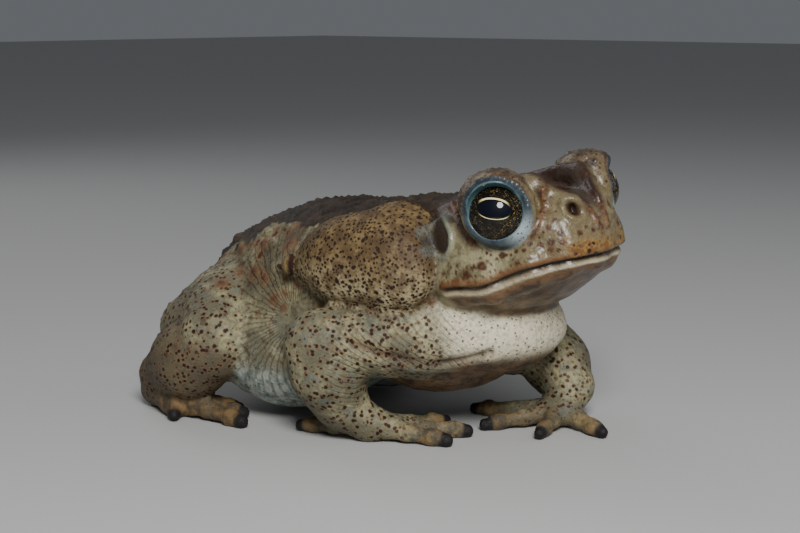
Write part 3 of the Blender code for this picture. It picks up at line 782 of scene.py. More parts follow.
class Skin:
    """The skin's points with their places and masks from 0 to 1, and how far each one is to be raised."""

    def __init__(self, body):
        self.mesh, self.p = bare_skin(body)
        self.near = body.apart(self.p)
        self.up = normals(self.mesh)
        self.q = in_head(self.p)
        self.low = grain(self.p, 7.0, 1.0)
        self.mid = grain(self.p, 2.4, 2.0)
        self.none = np.zeros(len(self.p))
        self.regions()

    def part(self, *names):
        """The mask of the named groups on both sides."""
        return np.maximum.reduce([self.on[name + word] for name in names for word, _ in SIDES])

    def regions(self):
        """Masks of the toad's parts and of where its colours change."""
        p, near, mid = self.p, self.near, self.mid
        x, y, z = p.T
        ux, uy, uz = self.up.T
        self.on = on = {name: fade(d, 1.4, 0.2) for name, d in near.items()}
        self.gland = gland = self.part("gland_")
        self.leg = self.part("thigh_", "shank_", "foot_")
        self.shin = self.part("shank_", "foot_")
        self.hand = self.part("hand_", "foot_")
        ring, inner, white = self.none, self.none, self.none
        for _, side in SIDES:
            rho, h, bearing = eye_places(p, side)
            width = 8.0 + 1.5 * bell(bearing + 50, 70)
            here = (h > 1.5) & (h < 9)
            ring = np.maximum(ring, fade(rho, width + 0.5, width - 0.3) * here)
            inner = np.maximum(inner, fade(rho, 7.0, 6.8) * here)
            white = np.maximum(white, bell(bearing + 35, 26) * here)
        self.ring, self.inner, self.white = ring, inner, white
        self.brow = brow = self.part("brow_") * (1 - ring)
        head = np.maximum(fade(np.minimum(near["head"], near["jaw"]), 1.6, 0.3), brow) * (1 - gland)
        self.head = head = np.maximum(head, fade(from_eyes(p), 12.5, 11) * (1 - gland))
        self.jaw = fade(near["jaw"], 1.0, 0.1) * (1 - gland)
        self.limb = limb = np.maximum(self.part("arm_", "hand_"), self.leg)
        self.trunk = trunk = on["trunk"] * (1 - limb) * (1 - head) * (1 - gland)
        front_chest = on["trunk"] * fade(y, 6, -10) * fade(z, 41, 35)
        by_arm = fade(np.minimum(near["arm_left"], near["arm_right"]) + grain(p, 3.0, 4.0), 5.0, -0.5)
        throat = np.maximum(fade(near["throat"], 5.0, 0.4), front_chest)
        self.throat = throat * (1 - 0.85 * by_arm) * (1 - head) * (1 - gland)
        dorsal = fade(np.abs(x) + 5.0 * grain(p, 7.0, 5.0) + 2.5 * mid, 24, 18)
        dorsal = dorsal * fade(uz, 0.0, 0.45) * fade(z + 0.4 * np.maximum(y - 30, 0) + 4 * mid, 37, 45)
        dorsal *= fade(y, -28, -18) * (1 - np.maximum(head, brow) * fade(self.q[:, 1], 21, 14))
        dorsal = np.maximum(dorsal * (1 - gland), gland * fade(np.abs(x) + 2 * mid, 21, 16))
        self.dorsal = dorsal
        self.flank = trunk * (1 - dorsal) * fade(np.abs(ux) + np.abs(uy) * 0.4, 0.35, 0.6)
        self.belly = trunk * fade(uz, -0.05, -0.55) * fade(z, 32, 16)

    def warts(self, factor):
        """Places the warts and starts the height with their domes."""
        p, qy, z, uz = self.p, self.q[:, 1], self.p[:, 2], self.up[:, 2]
        self.rng = rng = random.Random(SEED)
        sow = partial(sprinkle, rng, p, self.up)
        large = back_warts()
        brows = brow_warts(1) + brow_warts(-1)
        back = sow(self.trunk * self.dorsal, 330, (0.5, 1.5), 1.05, large)
        marked = [(sided(at, side), None, 1.25 + 0.4 * rng.random())
                  for at in FLANK_SPOTS for _, side in SIDES]
        side_big = marked + sow(self.flank * fade(z, 30, 38), 56, (0.8, 1.5), 1.9, large + marked)
        side_small = sow(self.flank * fade(z, 14, 26), 170, (0.35, 0.75), 1.9, side_big + large)
        legs = sow(self.leg * (1 - self.hand) * fade(uz, -0.3, 0.5), 90, (0.4, 1.2), 1.5)
        brow_small = sow(self.brow * 0.9, 150, (0.35, 0.75), 0.95, brows)
        neck = sow(self.head * fade(qy, 8, 15) * fade(uz, 0.2, 0.7), 60, (0.4, 0.9), 1.2)
        glands = sow(self.gland * fade(uz, 0.2, 0.7), 90, (0.4, 0.95), 1.2)
        self.beads = lid_beads(p, self.up)
        self.side_warts, self.dark_warts = side_big, side_big + side_small + legs
        rows = ((large, 0.55), (back, 0.6), (side_big, 0.42), (legs + side_small + neck + glands, 0.45),
                (brows, 0.45), (brow_small, 0.5), (self.beads, 0.6))
        self.height = factor * sum(domes(p, places, lift) for places, lift in rows)

    def mouth(self):
        near = self.near
        self.over_mouth = over = self.q[:, 2] - mouth_height(self.q)
        self.face = fade(self.q[:, 1], 16.5, 14.0) * fade(np.minimum(near["head"], near["jaw"]), 2.0, 0.8)
        # The closed mouth's line is painted near black: painted shade in the slit between the lips.
        self.line = bell(over, 0.62) * self.face
        lips = 0.4 * bell(over - 1.5, 1.0) + 0.45 * bell(over + 1.1, 0.65)
        self.height += lips * self.face - 1.1 * self.line

    def ears(self):
        self.ear, self.ear_rim = self.none, self.none
        for _, side in SIDES:
            c, out = surface_point(head_lobes(), head_point(EAR_AT), head_way((side, 0.0, 0.05)))
            tall = head_way((0, 0.25, 1.0))
            tall = unit(tall - out * (tall @ out))
            wide = np.cross(tall, out)
            rel = self.p - c
            r = np.hypot(rel @ wide / EAR_R[0], rel @ tall / EAR_R[1])
            flat = np.abs(rel @ out) < 4
            self.ear = np.maximum(self.ear, fade(r, 1.08, 0.92) * flat)
            self.ear_rim = np.maximum(self.ear_rim, bell(r - 1.18, 0.17) * flat)
        self.height += 0.45 * self.ear_rim - 0.6 * self.ear

    def nostrils(self):
        self.nostril = self.none
        for _, side in SIDES:
            spot, _ = surface_point(head_lobes() + jaw_lobes(), head_point((NOSTRIL_X * side, -8, -1)),
                                    head_way((0.25 * side, -1, 0.42)))
            slit = np.abs((self.p - spot) @ unit(head_way((0.5 * side, 0.25, 0.8))))
            d = np.sqrt(np.maximum(away(self.p, spot) ** 2 - 0.55 * slit ** 2, 0))
            # Painted shade: each nostril's opening is painted near black.
            self.nostril = np.maximum(self.nostril, fade(d, 1.9, 0.8))
            self.height += -1.5 * fade(d, 1.5, 0.4) + 0.6 * bell(d - 2.2, 0.8)

    def crests(self):
        m = folded(self.q)
        self.canthus, self.preorbital = from_line(m, CANTHUS), from_line(m, PREORBITAL)
        self.postorbital, self.crown = from_line(m, POSTORBITAL), from_line(m, CROWN)
        trough = bell(m[:, 0] - 3, 4) * fade(m[:, 1], -14, -6) * self.head * fade(self.up[:, 2], 0.5, 0.8)
        self.height += (0.7 * bell(self.canthus, 0.9) + 0.55 * bell(self.preorbital, 0.8)
                        + 0.6 * bell(self.postorbital, 0.9) + 0.7 * bell(self.crown, 1.2) - 0.35 * trough)

    def folds(self):
        """The gland's pointed end, the throat's fold, the painted shadow below each gland's edge, and the
        wrinkles of the flank and chest.
        """
        side_p = folded(self.p)
        x, y, z = side_p.T
        tip = from_line(side_p, GLAND_TIP)
        along = np.clip((y - 19.5) / 9.5, 0, 1)
        self.point = fade(tip, 2.8 * (1 - along) + 0.6, 1.6 * (1 - along)) * fade(y, 18.0, 19.5)
        self.height += 1.5 * self.point - 0.6 * bell(y - 18.3, 0.7) * fade(tip, 4.5, 3)

        fold = from_line(side_p, THROAT_FOLD)
        bare = (1 - self.head) * (1 - self.hand)
        # The throat's fold is dented here and darkened later as painted shade under the throat.
        self.crease = bell(fold, 0.9) * bare
        self.height += 0.5 * bell(fold - 2.4, 1.5) * bare - 1.1 * self.crease
        # Painted shadow: a band just below each gland's edge, darkened where the gland overhangs the flank.
        left = self.p[:, 0] > 0
        gap = np.abs(np.where(left, self.near["gland_left"], self.near["gland_right"]))
        self.gland_edge_shadow = fade(gap, 2.2, 0.4) * (1 - self.gland) * (1 - self.dorsal)

        fan_y, fan_z = y - FAN_Y, z - FAN_Z
        reach = np.hypot(fan_y, fan_z)
        fan = self.flank * fade(reach, 34, 20) * fade(reach, 1.5, 6) * fade(fan_y, -6, 2)
        chest = fade(x, 12, 20) * fade(y, 2, -5) * fade(y, -30, -22) * fade(z, 39, 34)
        arms = self.on["arm_left"] + self.on["arm_right"]
        chest = chest * np.maximum(self.throat, arms).clip(0, 1) * bare
        fan_cycles = np.degrees(np.arctan2(fan_z, fan_y)) / FAN_STEP
        chest_cycles = (z * 0.75 - y * 0.65) / CHEST_STEP
        self.cycles = np.where(fan > chest, fan_cycles, chest_cycles) + 0.22 * self.mid
        self.wrinkle = np.maximum(fan, chest * 0.8)

    def toes(self):
        self.toe, self.claw, knuckle = self.none, self.none, self.none
        rows = [(arm["tips"], FINGER_REACH) for arm in (RIGHT_ARM, LEFT_ARM)]
        rows += [(leg_points(side)["tips"], TOE_REACH) for _, side in SIDES]
        for tips, reach in rows:
            for x, y, _ in tips:
                d = away(self.p, (x, y, TOE_AXIS))
                joints = 0.1 + bell(d - 5.0, 1.3) + 0.9 * bell(d - 10.5, 1.5)
                self.toe = np.maximum(self.toe, fade(d, reach + 4, 4) * self.hand)
                self.claw = np.maximum(self.claw, fade(d, 2.8, 2.0) * self.hand)
                knuckle = np.maximum(knuckle, fade(d, 15, 12) * joints)
        self.height += 0.5 * self.hand * self.toe.clip(0.3, 1) * (knuckle - 0.75)

    def roughen(self):
        """Adds the skin's own unevenness, then raises every point and keeps it above the floor."""
        self.height += 0.25 * self.low * (1 - self.ring) * (1 - 0.7 * self.hand)
        coarse = (self.gland + self.trunk * 0.8 + self.head * 0.5 + self.limb * 0.6).clip(0, 1)
        self.height += 0.17 * grain(self.p, 1.7, 3.0) * coarse * (1 - self.ring) * (1 - self.ear)
        self.p = self.p + self.up * self.height[:, None]
        self.p[:, 2] = np.maximum(self.p[:, 2], 0.0)
        place(self.mesh, self.p)

    def spots(self):
        p, m, rng, over = self.p, folded(self.q), self.rng, self.over_mouth
        sow = partial(sprinkle, rng, p, self.up)
        qy = self.q[:, 1]
        cheeks = self.face * fade(over, 1.2, 2.2) * fade(over, 9.0, 4.0) * fade(qy, -12, -6)
        freckles = sow(cheeks * (1 - self.ring), 90, (0.35, 0.85), 1.45)
        freckles += sow(self.head * fade(qy, -8, -11) * fade(over, 1, 3), 70, (0.3, 0.7), 1.5)
        spots = spotted(p, [(at, r) for at, _, r in freckles], 0.28)
        for row, r in ((SNOUT_SPOTS, 0.85), (LIP_SPOTS, 1.05)):
            marks = [(np.array(at), r * (0.8 + 0.5 * rng.random())) for at in row]
            spots = np.maximum(spots, spotted(m, marks, 0.35))
        return spots

    def under_shade(self):
        """Painted shade under the jaw and chest and in the throat's crease, where the colour is darkened."""
        below = np.maximum(self.jaw, self.face) * fade(self.over_mouth, -1.7, -2.5) * (1 - self.throat)
        faces_down = fade(self.up[:, 2], -0.35, -0.8) * fade(self.p[:, 1], 6, -4)
        chest = faces_down * (self.throat + self.trunk).clip(0, 1)
        return np.maximum.reduce([below, self.crease, chest])

    def painted(self):
        """Keeps every mask that the finish reads on the mesh."""
        p, mid, head, face, over = self.p, self.mid, self.head, self.face, self.over_mouth
        qx, qy, qz = self.q.T
        spots = self.spots()
        core = spotted(p, [(at, r * (0.95 if r > 0.8 else 0.7)) for at, _, r in self.dark_warts], 0.5)
        halo = spotted(p, [(at, r * 1.7) for at, _, r in self.side_warts], 0.4)
        crest = np.maximum.reduce([bell(self.canthus, 1.1) * fade(qz, -2.0, 4.0),
                                   bell(self.postorbital, 0.7), bell(self.crown, 1.3)]) * head
        beads = spotted(p, [(at, r * 1.6) for at, _, r in self.beads], 0.3)
        rust = np.maximum.reduce([bell(self.preorbital, 1.2), bell(self.postorbital, 1.5),
                                  bell(self.canthus, 1.3) * fade(qz, 5, 1), beads]) * (1 - self.ring)
        nape = head * fade(qy + 2 * mid, 8, 13) * fade(qz + mid, 4, 8)
        blotch = fade(qy + mid, -14.0, -17.0) * fade(over, 0.4, 1.0) * fade(over + 2.5 * mid, 7.0, 2.0)
        lip = bell(over - 1.2, 0.9 + 0.5 * fade(qy, -4, 8)) * face
        width = np.interp(qy, (-19, -15.6, -12.6, -10), (2.5, 4.2, 6.5, 9.5))
        inside = fade(np.abs(qx) - width, 1.2, -0.8)
        snout = head * fade(qy, -3, -6) * (1 - self.brow) * inside * fade(qz + mid, 0, 4)
        crown = head * fade(np.abs(qx) + mid, 10.0, 8.4) * fade(qz, 4, 7) * fade(qy, -9, -4)
        crown = np.maximum(crown * (1 - self.brow * 0.6), nape * 0.85)
        layers = {
            "ground": (self.dorsal, self.gland, head),
            "under": (self.belly, self.throat, self.limb),
            "tips": (self.toe, self.claw, self.shin),
            "face": (self.ring, self.ear, self.brow),
            # The mouth line and nostrils carry painted shade of the slit and the openings.
            "mouth": (np.maximum(self.line, self.nostril), lip, bell(over + 1.05, 0.5) * face),
            "marks": (core, halo, crest),
            "snout": (snout, crown, spots),
            "trim": (rust, blotch, self.point),
            "tone": (bell(over + 1.95, 0.55) * face, fade(p[:, 2], 52, 36), fade(p[:, 2], 26, 40)),
            # Painted shade under the jaw and chest, painted shadow below the glands' edges, and the
            # eardrum's rim.
            "painted_shade_and_ear_rim": (self.under_shade(), self.gland_edge_shadow, self.ear_rim),
            "lid": (self.inner, self.white, self.height / 1.2),
        }
        for name, masks in layers.items():
            paint(self.mesh, name, *masks)
        keep_vectors(self.mesh, "fold", np.stack([self.cycles, self.wrinkle, self.none], 1))


def skin_mesh(sizes):
    """The toad's whole skin, in millimetres: settled lobes, folds, warts and painted masks."""
    skin = Skin(Body(sizes.eye_radius / MM))
    skin.warts(sizes.wart_height)
    skin.mouth()
    skin.ears()
    skin.nostrils()
    skin.crests()
    skin.folds()
    skin.toes()
    skin.roughen()
    skin.painted()
    return skin.mesh


def skin_finish(colors):
    m, c = Finish("toad_skin"), colors
    at = m.place()
    back, gland, head = m.masks("ground")
    belly, throat, limb = m.masks("under")
    toe, claw, shin = m.masks("tips")
    ring, ear, brow = m.masks("face")
    line, lip, under_lip = m.masks("mouth")
    core, halo, crest = m.masks("marks")
    snout, crown, spots = m.masks("snout")
    rust, blotch, point = m.masks("trim")
    # Painted shade of the undersides, painted shadow below the glands, and the eardrum's rim.
    under, edge, ear_rim = m.masks("painted_shade_and_ear_rim")
    inner, white, raised = m.masks("lid")
    lip_edge, low, high = m.masks("tone")
    fold = m.attribute("fold")
    cycles, wrinkle = (m.node("ShaderNodeSeparateXYZ", out=i, i0=fold) for i in range(2))

    broad = m.noise(at, 70, 3, 0.6)
    soft = m.noise(at, 230, 4, 0.65)
    fine = m.noise(at, 900, 3, 0.6)
    sway = m.node("ShaderNodeTexNoise", out=1, i0=at, scale=420.0)
    sway = m.node("ShaderNodeVectorMath", {"operation": "SCALE"}, i0=sway, i3=0.0008)
    warp = m.node("ShaderNodeVectorMath", {"operation": "ADD"}, i0=at, i1=sway)

    def dotted(scale, rim, core):
        return m.band(m.cells(warp, scale), rim, core)

    net = m.node("ShaderNodeTexVoronoi", {"feature": "DISTANCE_TO_EDGE"}, i0=warp, scale=1150.0)
    flesh = (1 - gland) * (1 - head) * (1 - back)
    # The crease network and the folds' troughs are both dented by the bump and darkened as painted shade.
    creases = m.band(net, 0.09, 0.0) * flesh * (1 - throat) * m.band(broad, 0.35, 0.60)
    wave = ((cycles + soft * 0.6) * math.tau).sine()
    folds = m.band(wave, 0.30, 0.95) * wrinkle * m.band(fine, 0.25, 0.5)

    color = m.patches(broad, 0.38, 0.60, c.skin_light, c.skin_grey)
    tan = m.patches(soft + (broad - 0.5) * 0.8, 0.34, 0.62, c.gland, c.gland_dark)
    tan = m.mix(low * (0.20 + m.band(soft, 0.58, 0.40) * 0.7), tan, c.gland_pale)
    tan = m.mix(m.band(fine, 0.46, 0.64) * 0.5, tan, c.gland_dark)
    ahead = -HEAD[1][:, 1]
    eyes_ahead = float((HEAD[0] + SHIFT) @ ahead) * MM
    along = m.node("ShaderNodeVectorMath", {"operation": "DOT_PRODUCT"}, out=1, i0=at, i1=tuple(ahead))
    nose = m.band(along, eyes_ahead + 0.003, eyes_ahead + 0.010) * (0.45 + m.band(soft, 0.60, 0.42) * 0.5)
    cheek = m.mix(nose, m.patches(soft, 0.44, 0.68, c.cheek, c.skin_olive), c.nose)
    ridges = m.patches(soft, 0.34, 0.62, c.back_dark, c.back)
    ridges = m.mix(raised * m.band(fine, 0.3, 0.6) * 0.8, ridges, c.back_light)
    tip = m.patches(soft + (fine - 0.5) * 0.6, 0.50, 0.62, c.lip_tip, c.lip)
    rim = m.mix(white, m.patches(soft, 0.35, 0.60, c.ring, c.ring_dark), c.ring_white)
    rim = m.mix(dotted(1100, 0.30, 0.18) * white, rim, c.dots)

    side = flesh * (1 - limb) * (1 - throat) * high
    limb_dots = dotted(617, 0.38, 0.25) * limb.most(side * 0.5) * (1 - toe)
    gland_dots = (dotted(1000, 0.38, 0.26) * gland).most(dotted(345, 0.27, 0.14) * gland)
    pale_dots = dotted(686, 0.25, 0.15) * throat.most(belly).most(flesh * 0.8)
    brow_dots = dotted(760, 0.32, 0.20) * brow.most(snout * 0.8)
    dots = limb_dots.most(gland_dots).most(pale_dots * 0.8).most(brow_dots * 0.8) * m.band(fine, 0.25, 0.40)
    side_halos = (halo * 0.6).most(dotted(170, 0.34, 0.20) * side * 0.8) * (1 - back)
    side_warts = (core * 0.8).most(dotted(170, 0.23, 0.15) * side) * (1 - back)

    for mask, coat in (
            (m.band(soft, 0.48, 0.66) * 0.6, c.skin_blue),
            (m.band(fine, 0.42, 0.62) * 0.5, c.skin_olive),
            (high * (1 - limb) * (0.35 + m.band(soft, 0.35, 0.62) * 0.5), c.skin_olive),
            (shin * 0.8, c.shank),
            (gland, tan),
            (throat, m.mix(m.band(fine, 0.45, 0.65) * 0.4, c.throat, c.skin_olive)),
            (belly, m.patches(soft, 0.40, 0.66, c.belly, c.skin_blue)),
            (head * (1 - throat), m.mix(m.band(fine, 0.52, 0.68) * 0.3, cheek, c.spot)),
            (snout, m.patches(soft, 0.38, 0.62, c.snout, c.crown)),
            (crown, m.patches(soft, 0.38, 0.64, c.crown, c.crest)),
            (brow, m.patches(soft, 0.40, 0.62, c.brow, c.crown)),
            (m.band(back + (soft - 0.5) * 0.9 + (fine - 0.5) * 0.5, 0.26, 0.68), ridges),
            # Painted shade: the undersides of the jaw and chest and the throat's crease darkened to browns.
            (under, m.patches(soft, 0.35, 0.65, c.under, c.painted_dark_shade)),
            (dotted(617, 0.56, 0.34) * limb * (1 - toe) * 0.45, c.halo),
            (dotted(1000, 0.56, 0.36) * gland * 0.6, c.gland_dark),
            (dots, c.dots),
            (dotted(105, 0.46, 0.28) * side * 0.55, c.crown),
            (side_halos, c.halo),
            (side_warts, c.wart),
            # Painted shade in the folds' troughs and the crease network.
            ((folds * 0.42).most(creases * 0.15), c.crease),
            # Painted shadow along the glands' lower edges.
            (edge * 0.9, c.painted_dark_shade),
            (crest * m.band(soft, 0.25, 0.5), c.crest),
            (rust * 0.85, m.patches(fine, 0.42, 0.6, c.rust, c.crest)),
            (spots, m.mix(m.band(fine, 0.5, 0.65) * 0.5, c.spot, c.rust)),
            (lip * (0.65 + m.band(soft, 0.42, 0.55) * 0.35), c.lip),
            (blotch * m.band(broad + (fine - 0.5) * 0.5, 0.30, 0.55), tip),
            (blotch * dotted(480, 0.36, 0.22), c.crest),
            (lip_edge * 0.8, c.lip),
            (under_lip, m.mix(m.band(fine, 0.52, 0.64) * 0.4, c.under_lip, c.lip)),
            # Painted shade: the mouth's slit and the nostril openings painted near black.
            (line, c.mouth),
            (point, c.gland),
            (m.band(point, 0.05, 0.35) * m.band(point, 0.95, 0.6), c.crest),
            (toe * 0.75, m.patches(soft, 0.42, 0.60, c.toe, c.toe_dark)),
            (claw, c.claw),
            (ear, m.patches(soft, 0.4, 0.6, c.ear, c.back)),
            (ear_rim * 0.5, c.skin_blue),
            (ring, m.mix(inner, rim, c.ring_inner))):
        color = m.mix(mask, color, coat)

    wet = head.most(ring)
    relief = fine * 0.8 - creases * 0.3 - m.cells(at, 1500) * 0.5 - folds * 1.2
    relief = relief - gland_dots * 0.6 - limb_dots * 0.2
    bumps = m.node("ShaderNodeBump", height=relief * (1 - ring * 0.7), distance=0.00030, strength=0.75)
    m.into(base_color=color, roughness=0.50 + fine * 0.22 - wet * 0.16, normal=bumps,
           specular_ior_level=0.28, coat_weight=wet * 0.30, coat_roughness=0.2)
    return m.mat


def eye_mesh(side, sizes):
    """One eyeball in millimetres, with where each point lies on the iris kept for the paint."""
    c, out, front, up = eye_frame(side)
    bm = bmesh.new()
    turned = np.eye(4)
    turned[:3, :3], turned[:3, 3] = np.stack([front, up, out], 1) * (sizes.eye_radius / MM), c
    bmesh.ops.create_uvsphere(bm, u_segments=96, v_segments=64, radius=1.0, matrix=Matrix(turned.tolist()))
    bmesh.ops.recalc_face_normals(bm, faces=bm.faces)
    mesh = mesh_of(bm, "eye")
    p = points(mesh)
    local = np.stack([(p - c) @ front, (p - c) @ up, (p - c) @ out], 1)
    place(mesh, p + out * (0.55 * fade(local[:, 2], 3.0, 7.5))[:, None])
    keep_vectors(mesh, "iris", local)
    return mesh


def eye_finish(colors):
    m, c = Finish("toad_eye"), colors
    at = m.attribute("iris")
    x, y = (m.node("ShaderNodeSeparateXYZ", out=i, i0=at) for i in range(2))
    rise = y - 0.25 + x * 0.10
    wave = abs(x / 4.1) ** 2.2 + abs(rise / 2.35) ** 2.0
    across = m.band(abs(x / 4.0), 1.0, 0.6)
    thick = m.band(rise, -0.5, 0.5, 1.18, 1.42)
    rim = m.band(wave, 0.97, 1.03) * m.band(wave - thick, 0.0, -0.10) * across
    fleck = m.band(m.cells(at, 3.6), 0.32, 0.16) * m.band(m.noise(at, 0.9, 4.0), 0.44, 0.60)
    radius = (x * x + y * y) ** 0.5
    glow = m.band(radius, 3.0, 5.0)
    color = m.mix(glow * m.band(m.noise(at, 2.2, 4.0), 0.48, 0.70) * 0.5, c.iris, c.iris_brown)
    for mask, coat in ((fleck * (0.15 + glow * 0.85), c.fleck), (rim, c.pupil_rim),
                       (m.band(wave, 1.0, 0.95), c.pupil), (m.band(radius, 6.6, 7.0), c.iris)):
        color = m.mix(mask, color, coat)
    m.into(base_color=color, roughness=0.5, specular_ior_level=0.05, coat_weight=1.0,
           coat_roughness=0.015, coat_ior=1.36)
    return m.mat


def finished(mesh, name, mat):
    """Turns millimetres to metres, smooths, and makes the piece ride on the toad."""
    mesh.transform(Matrix.Translation(Vector(SHIFT) * MM) @ Matrix.Scale(MM, 4))
    mesh.shade_smooth()
    mesh.name = name
    mesh.materials.append(mat)
    ob = added(name, mesh)
    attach(ob, "root")
    return ob


def shade(name, color, about):
    return bpy.props.FloatVectorProperty(name=name, description=about, subtype="COLOR", size=3,
                                         min=0, max=1, default=color)


class ToadSizes(bpy.types.PropertyGroup):
    eye_radius: bpy.props.FloatProperty(
        name="Eye radius", description="Radius of each eyeball", default=0.008, unit="LENGTH",
        min=0.004, max=0.012)
    wart_height: bpy.props.FloatProperty(
        name="Wart height", description="How far the warts stand out, as a factor", default=1.0,
        min=0.0, max=2.0)


class ToadColors(bpy.types.PropertyGroup):
    skin_light: shade("Light skin", (0.34, 0.31, 0.18), "Cream of the limbs and flanks")
    skin_grey: shade("Grey skin", (0.145, 0.138, 0.09), "Grey olive of the limbs and flanks")
    skin_blue: shade("Bluish skin", (0.13, 0.17, 0.155), "Bluish patches of the limbs and flanks")
    skin_olive: shade("Olive skin", (0.115, 0.095, 0.048), "Olive patches of the limbs and flanks")
    shank: shade("Shank", (0.09, 0.068, 0.04), "Grey brown of the shanks and feet")
    back: shade("Back", (0.036, 0.021, 0.011), "Brown of the back")
    back_dark: shade("Dark back", (0.006, 0.005, 0.005), "Blackish parts of the back")
    back_light: shade("Wart tops", (0.1, 0.065, 0.035), "Lighter tops of the back's warts")
    gland: shade("Gland", (0.2, 0.137, 0.056), "Tan of the parotoid glands")
    gland_dark: shade("Dark gland", (0.085, 0.05, 0.021), "Brown of the parotoid glands")
    gland_pale: shade("Pale gland", (0.44, 0.38, 0.23), "Cream of the lower glands")
    throat: shade("Throat", (0.7, 0.63, 0.46), "Cream of the throat")
    belly: shade("Belly", (0.46, 0.50, 0.44), "Pale belly")
    # Painted shade: these browns darken the jaw's and chest's undersides and the throat's crease; the dark
    # one also lays the painted shadow below the glands.
    under: shade("Underside", (0.16, 0.095, 0.045), "Brown of the jaw's and chest's undersides")
    painted_dark_shade: shade("Dark underside", (0.05, 0.028, 0.016), "Dark brown of the undersides")
    cheek: shade("Cheek", (0.29, 0.26, 0.15), "Olive cream of the cheeks")
    nose: shade("Snout sides", (0.135, 0.098, 0.045), "Yellow brown of the snout's sides")
    snout: shade("Snout", (0.060, 0.045, 0.032), "Grey brown of the snout's top")
    crown: shade("Crown", (0.050, 0.033, 0.022), "Brown of the head's top")
    crest: shade("Crest", (0.030, 0.011, 0.007), "Dark brown of the head's crests")
    rust: shade("Rust", (0.15, 0.062, 0.022), "Orange brown of the ridges by the eye")
    brow: shade("Brow", (0.14, 0.1, 0.055), "Beige of the brows")
    dots: shade("Dots", (0.018, 0.008, 0.005), "Dark dots on limbs and glands")
    wart: shade("Warts", (0.060, 0.018, 0.011), "Reddish brown of the flank's warts")
    halo: shade("Wart rims", (0.22, 0.105, 0.042), "Orange brown round the warts")
    spot: shade("Spots", (0.055, 0.020, 0.009), "Brown spots of the snout and lip")
    # Painted shade: the brown laid in the skin's folds and creases.
    crease: shade("Creases", (0.075, 0.055, 0.036), "Brown of the skin's folds")
    toe: shade("Toes", (0.21, 0.125, 0.048), "Golden brown of the toes")
    toe_dark: shade("Dark toes", (0.062, 0.04, 0.022), "Brown of the toes")
    claw: shade("Toe tips", (0.012, 0.010, 0.010), "Black horny toe tips")
    lip: shade("Lip", (0.17, 0.07, 0.022), "Yellow brown above the mouth")
    lip_tip: shade("Snout tip", (0.26, 0.155, 0.035), "Yellow of the snout's tip")
    under_lip: shade("Lower lip", (0.5, 0.43, 0.29), "Cream of the lower lip")
    # Painted shade: near black for the closed mouth's slit and the nostril openings.
    mouth: shade("Mouth line", (0.020, 0.007, 0.004), "The line of the closed mouth")
    ear: shade("Eardrum", (0.030, 0.022, 0.018), "Grey brown of the tympanum")
    ring: shade("Eye ring", (0.042, 0.06, 0.072), "Blue grey rim round the eye")
    ring_dark: shade("Dark ring", (0.016, 0.022, 0.029), "Darker parts of the rim round the eye")
    ring_white: shade("Pale ring", (0.32, 0.38, 0.39), "Whitish lower front of the rim round the eye")
    ring_inner: shade("Inner ring", (0.075, 0.145, 0.16), "Teal inner edge of the rim round the eye")
    iris: shade("Iris", (0.004, 0.0035, 0.003), "Black of the iris")
    iris_brown: shade("Iris bronze", (0.06, 0.04, 0.015), "Bronze haze of the iris")
    fleck: shade("Iris flecks", (0.62, 0.42, 0.10), "Gold flecks of the iris")
    pupil: shade("Pupil", (0.002, 0.003, 0.008), "Blue black of the pupil")
    pupil_rim: shade("Pupil rim", (0.95, 0.82, 0.36), "Pale gold rim of the pupil")
    floor: shade("Floor", (0.50, 0.50, 0.49), "The stage's floor")


class TOAD_OT_skin(bpy.types.Operator):
    """Builds the skin that covers all the toad's flesh"""
    bl_idname = "toad.skin"
    bl_label = "Skin"

    def execute(self, context):
        scene = context.scene
        skin = finished(skin_mesh(scene.toad_sizes), "toad_skin", skin_finish(scene.toad_colors))
        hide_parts(*FLESH)
        return {"FINISHED"}


class TOAD_OT_eyes(bpy.types.Operator):
    """Builds both eyeballs"""
    bl_idname = "toad.eyes"
    bl_label = "Eyes"

    def execute(self, context):
        mat = eye_finish(context.scene.toad_colors)
        for word, side in SIDES:
            eye = finished(eye_mesh(side, context.scene.toad_sizes), "eyeball_" + word, mat)
            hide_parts("eye_" + word)
        return {"FINISHED"}


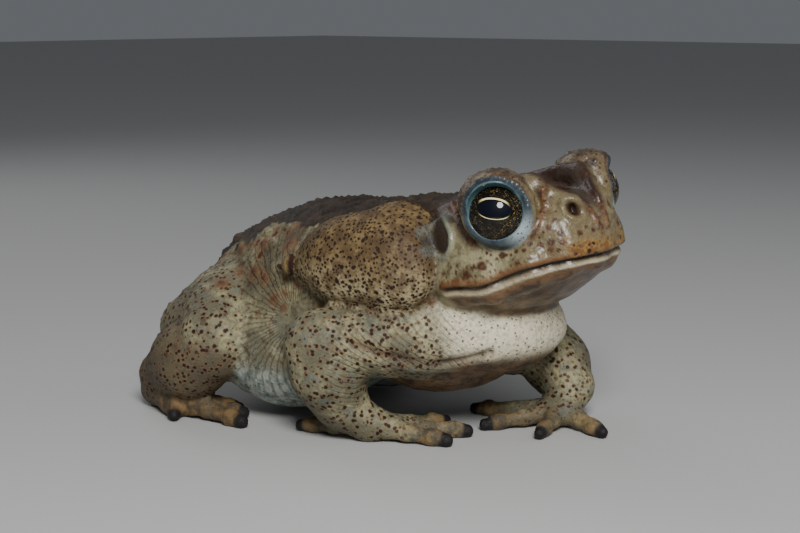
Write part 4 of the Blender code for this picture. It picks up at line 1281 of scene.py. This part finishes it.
class TOAD_OT_stage(bpy.types.Operator):
    """Sets the floor, the lights and the camera"""
    bl_idname = "toad.stage"
    bl_label = "Stage"

    def execute(self, context):
        self.lay_floor(context.scene)
        self.hang_lamps(context.scene)
        self.aim_camera(context.scene)
        return {"FINISHED"}

    def lay_floor(self, scene):
        bm = bmesh.new()
        bmesh.ops.create_grid(bm, x_segments=1, y_segments=1, size=FLOOR_SIZE)
        mesh = mesh_of(bm, "floor")
        floor = added("floor", mesh)
        m = Finish("floor_matt")
        m.into(base_color=scene.toad_colors.floor, roughness=0.8)
        mesh.materials.append(m.mat)

    def hang_lamps(self, scene):
        world = bpy.data.worlds.new("studio")
        world.use_nodes = True
        glow = world.node_tree.nodes["Background"].inputs
        glow[0].default_value, glow[1].default_value = WORLD_COLOR, WORLD_STRENGTH
        scene.world = world
        for name, at, aim, size, watts in LAMPS:
            lamp = bpy.data.lights.new(name, "AREA")
            lamp.energy, lamp.size, lamp.shape = watts, size, "DISK"
            ob = added(name, lamp)
            ob.location = at
            ob.rotation_euler = (Vector(at) - Vector(aim)).to_track_quat("Z", "Y").to_euler()

    def aim_camera(self, scene):
        lens = bpy.data.cameras.new("camera")
        lens.lens, lens.sensor_width, lens.clip_start = LENS, SENSOR, NEAR_CLIP
        camera = added("camera", lens)
        az, el = math.radians(CAMERA_AZIMUTH), math.radians(CAMERA_ELEVATION)
        back = Vector((math.sin(az) * math.cos(el), -math.cos(az) * math.cos(el), math.sin(el)))
        camera.rotation_euler = back.to_track_quat("Z", "Y").to_euler()
        camera.location = (Vector(CAMERA_AT) + Vector(SHIFT)) * MM
        scene.camera = camera


class TOAD_PT_panel(bpy.types.Panel):
    """Lists the toad's pieces, sizes and colours"""
    bl_idname = "TOAD_PT_panel"
    bl_label = "Cane Toad"
    bl_space_type = "VIEW_3D"
    bl_region_type = "UI"
    bl_category = "Cane Toad"

    def draw(self, context):
        for settings in (context.scene.toad_sizes, context.scene.toad_colors):
            for name in type(settings).__annotations__:
                self.layout.prop(settings, name)
        for op in (TOAD_OT_skin, TOAD_OT_eyes, TOAD_OT_stage):
            self.layout.operator(op.bl_idname)


CLASSES = (ToadSizes, ToadColors, TOAD_OT_skin, TOAD_OT_eyes, TOAD_OT_stage, TOAD_PT_panel)


def register():
    for cls in CLASSES:
        bpy.utils.register_class(cls)
    bpy.types.Scene.toad_sizes = bpy.props.PointerProperty(type=ToadSizes)
    bpy.types.Scene.toad_colors = bpy.props.PointerProperty(type=ToadColors)


def unregister():
    del bpy.types.Scene.toad_colors
    del bpy.types.Scene.toad_sizes
    for cls in reversed(CLASSES):
        bpy.utils.unregister_class(cls)


def main():
    register()
    bpy.ops.toad.skin()
    bpy.ops.toad.eyes()
    bpy.ops.toad.stage()


if __name__ == "__main__":
    main()
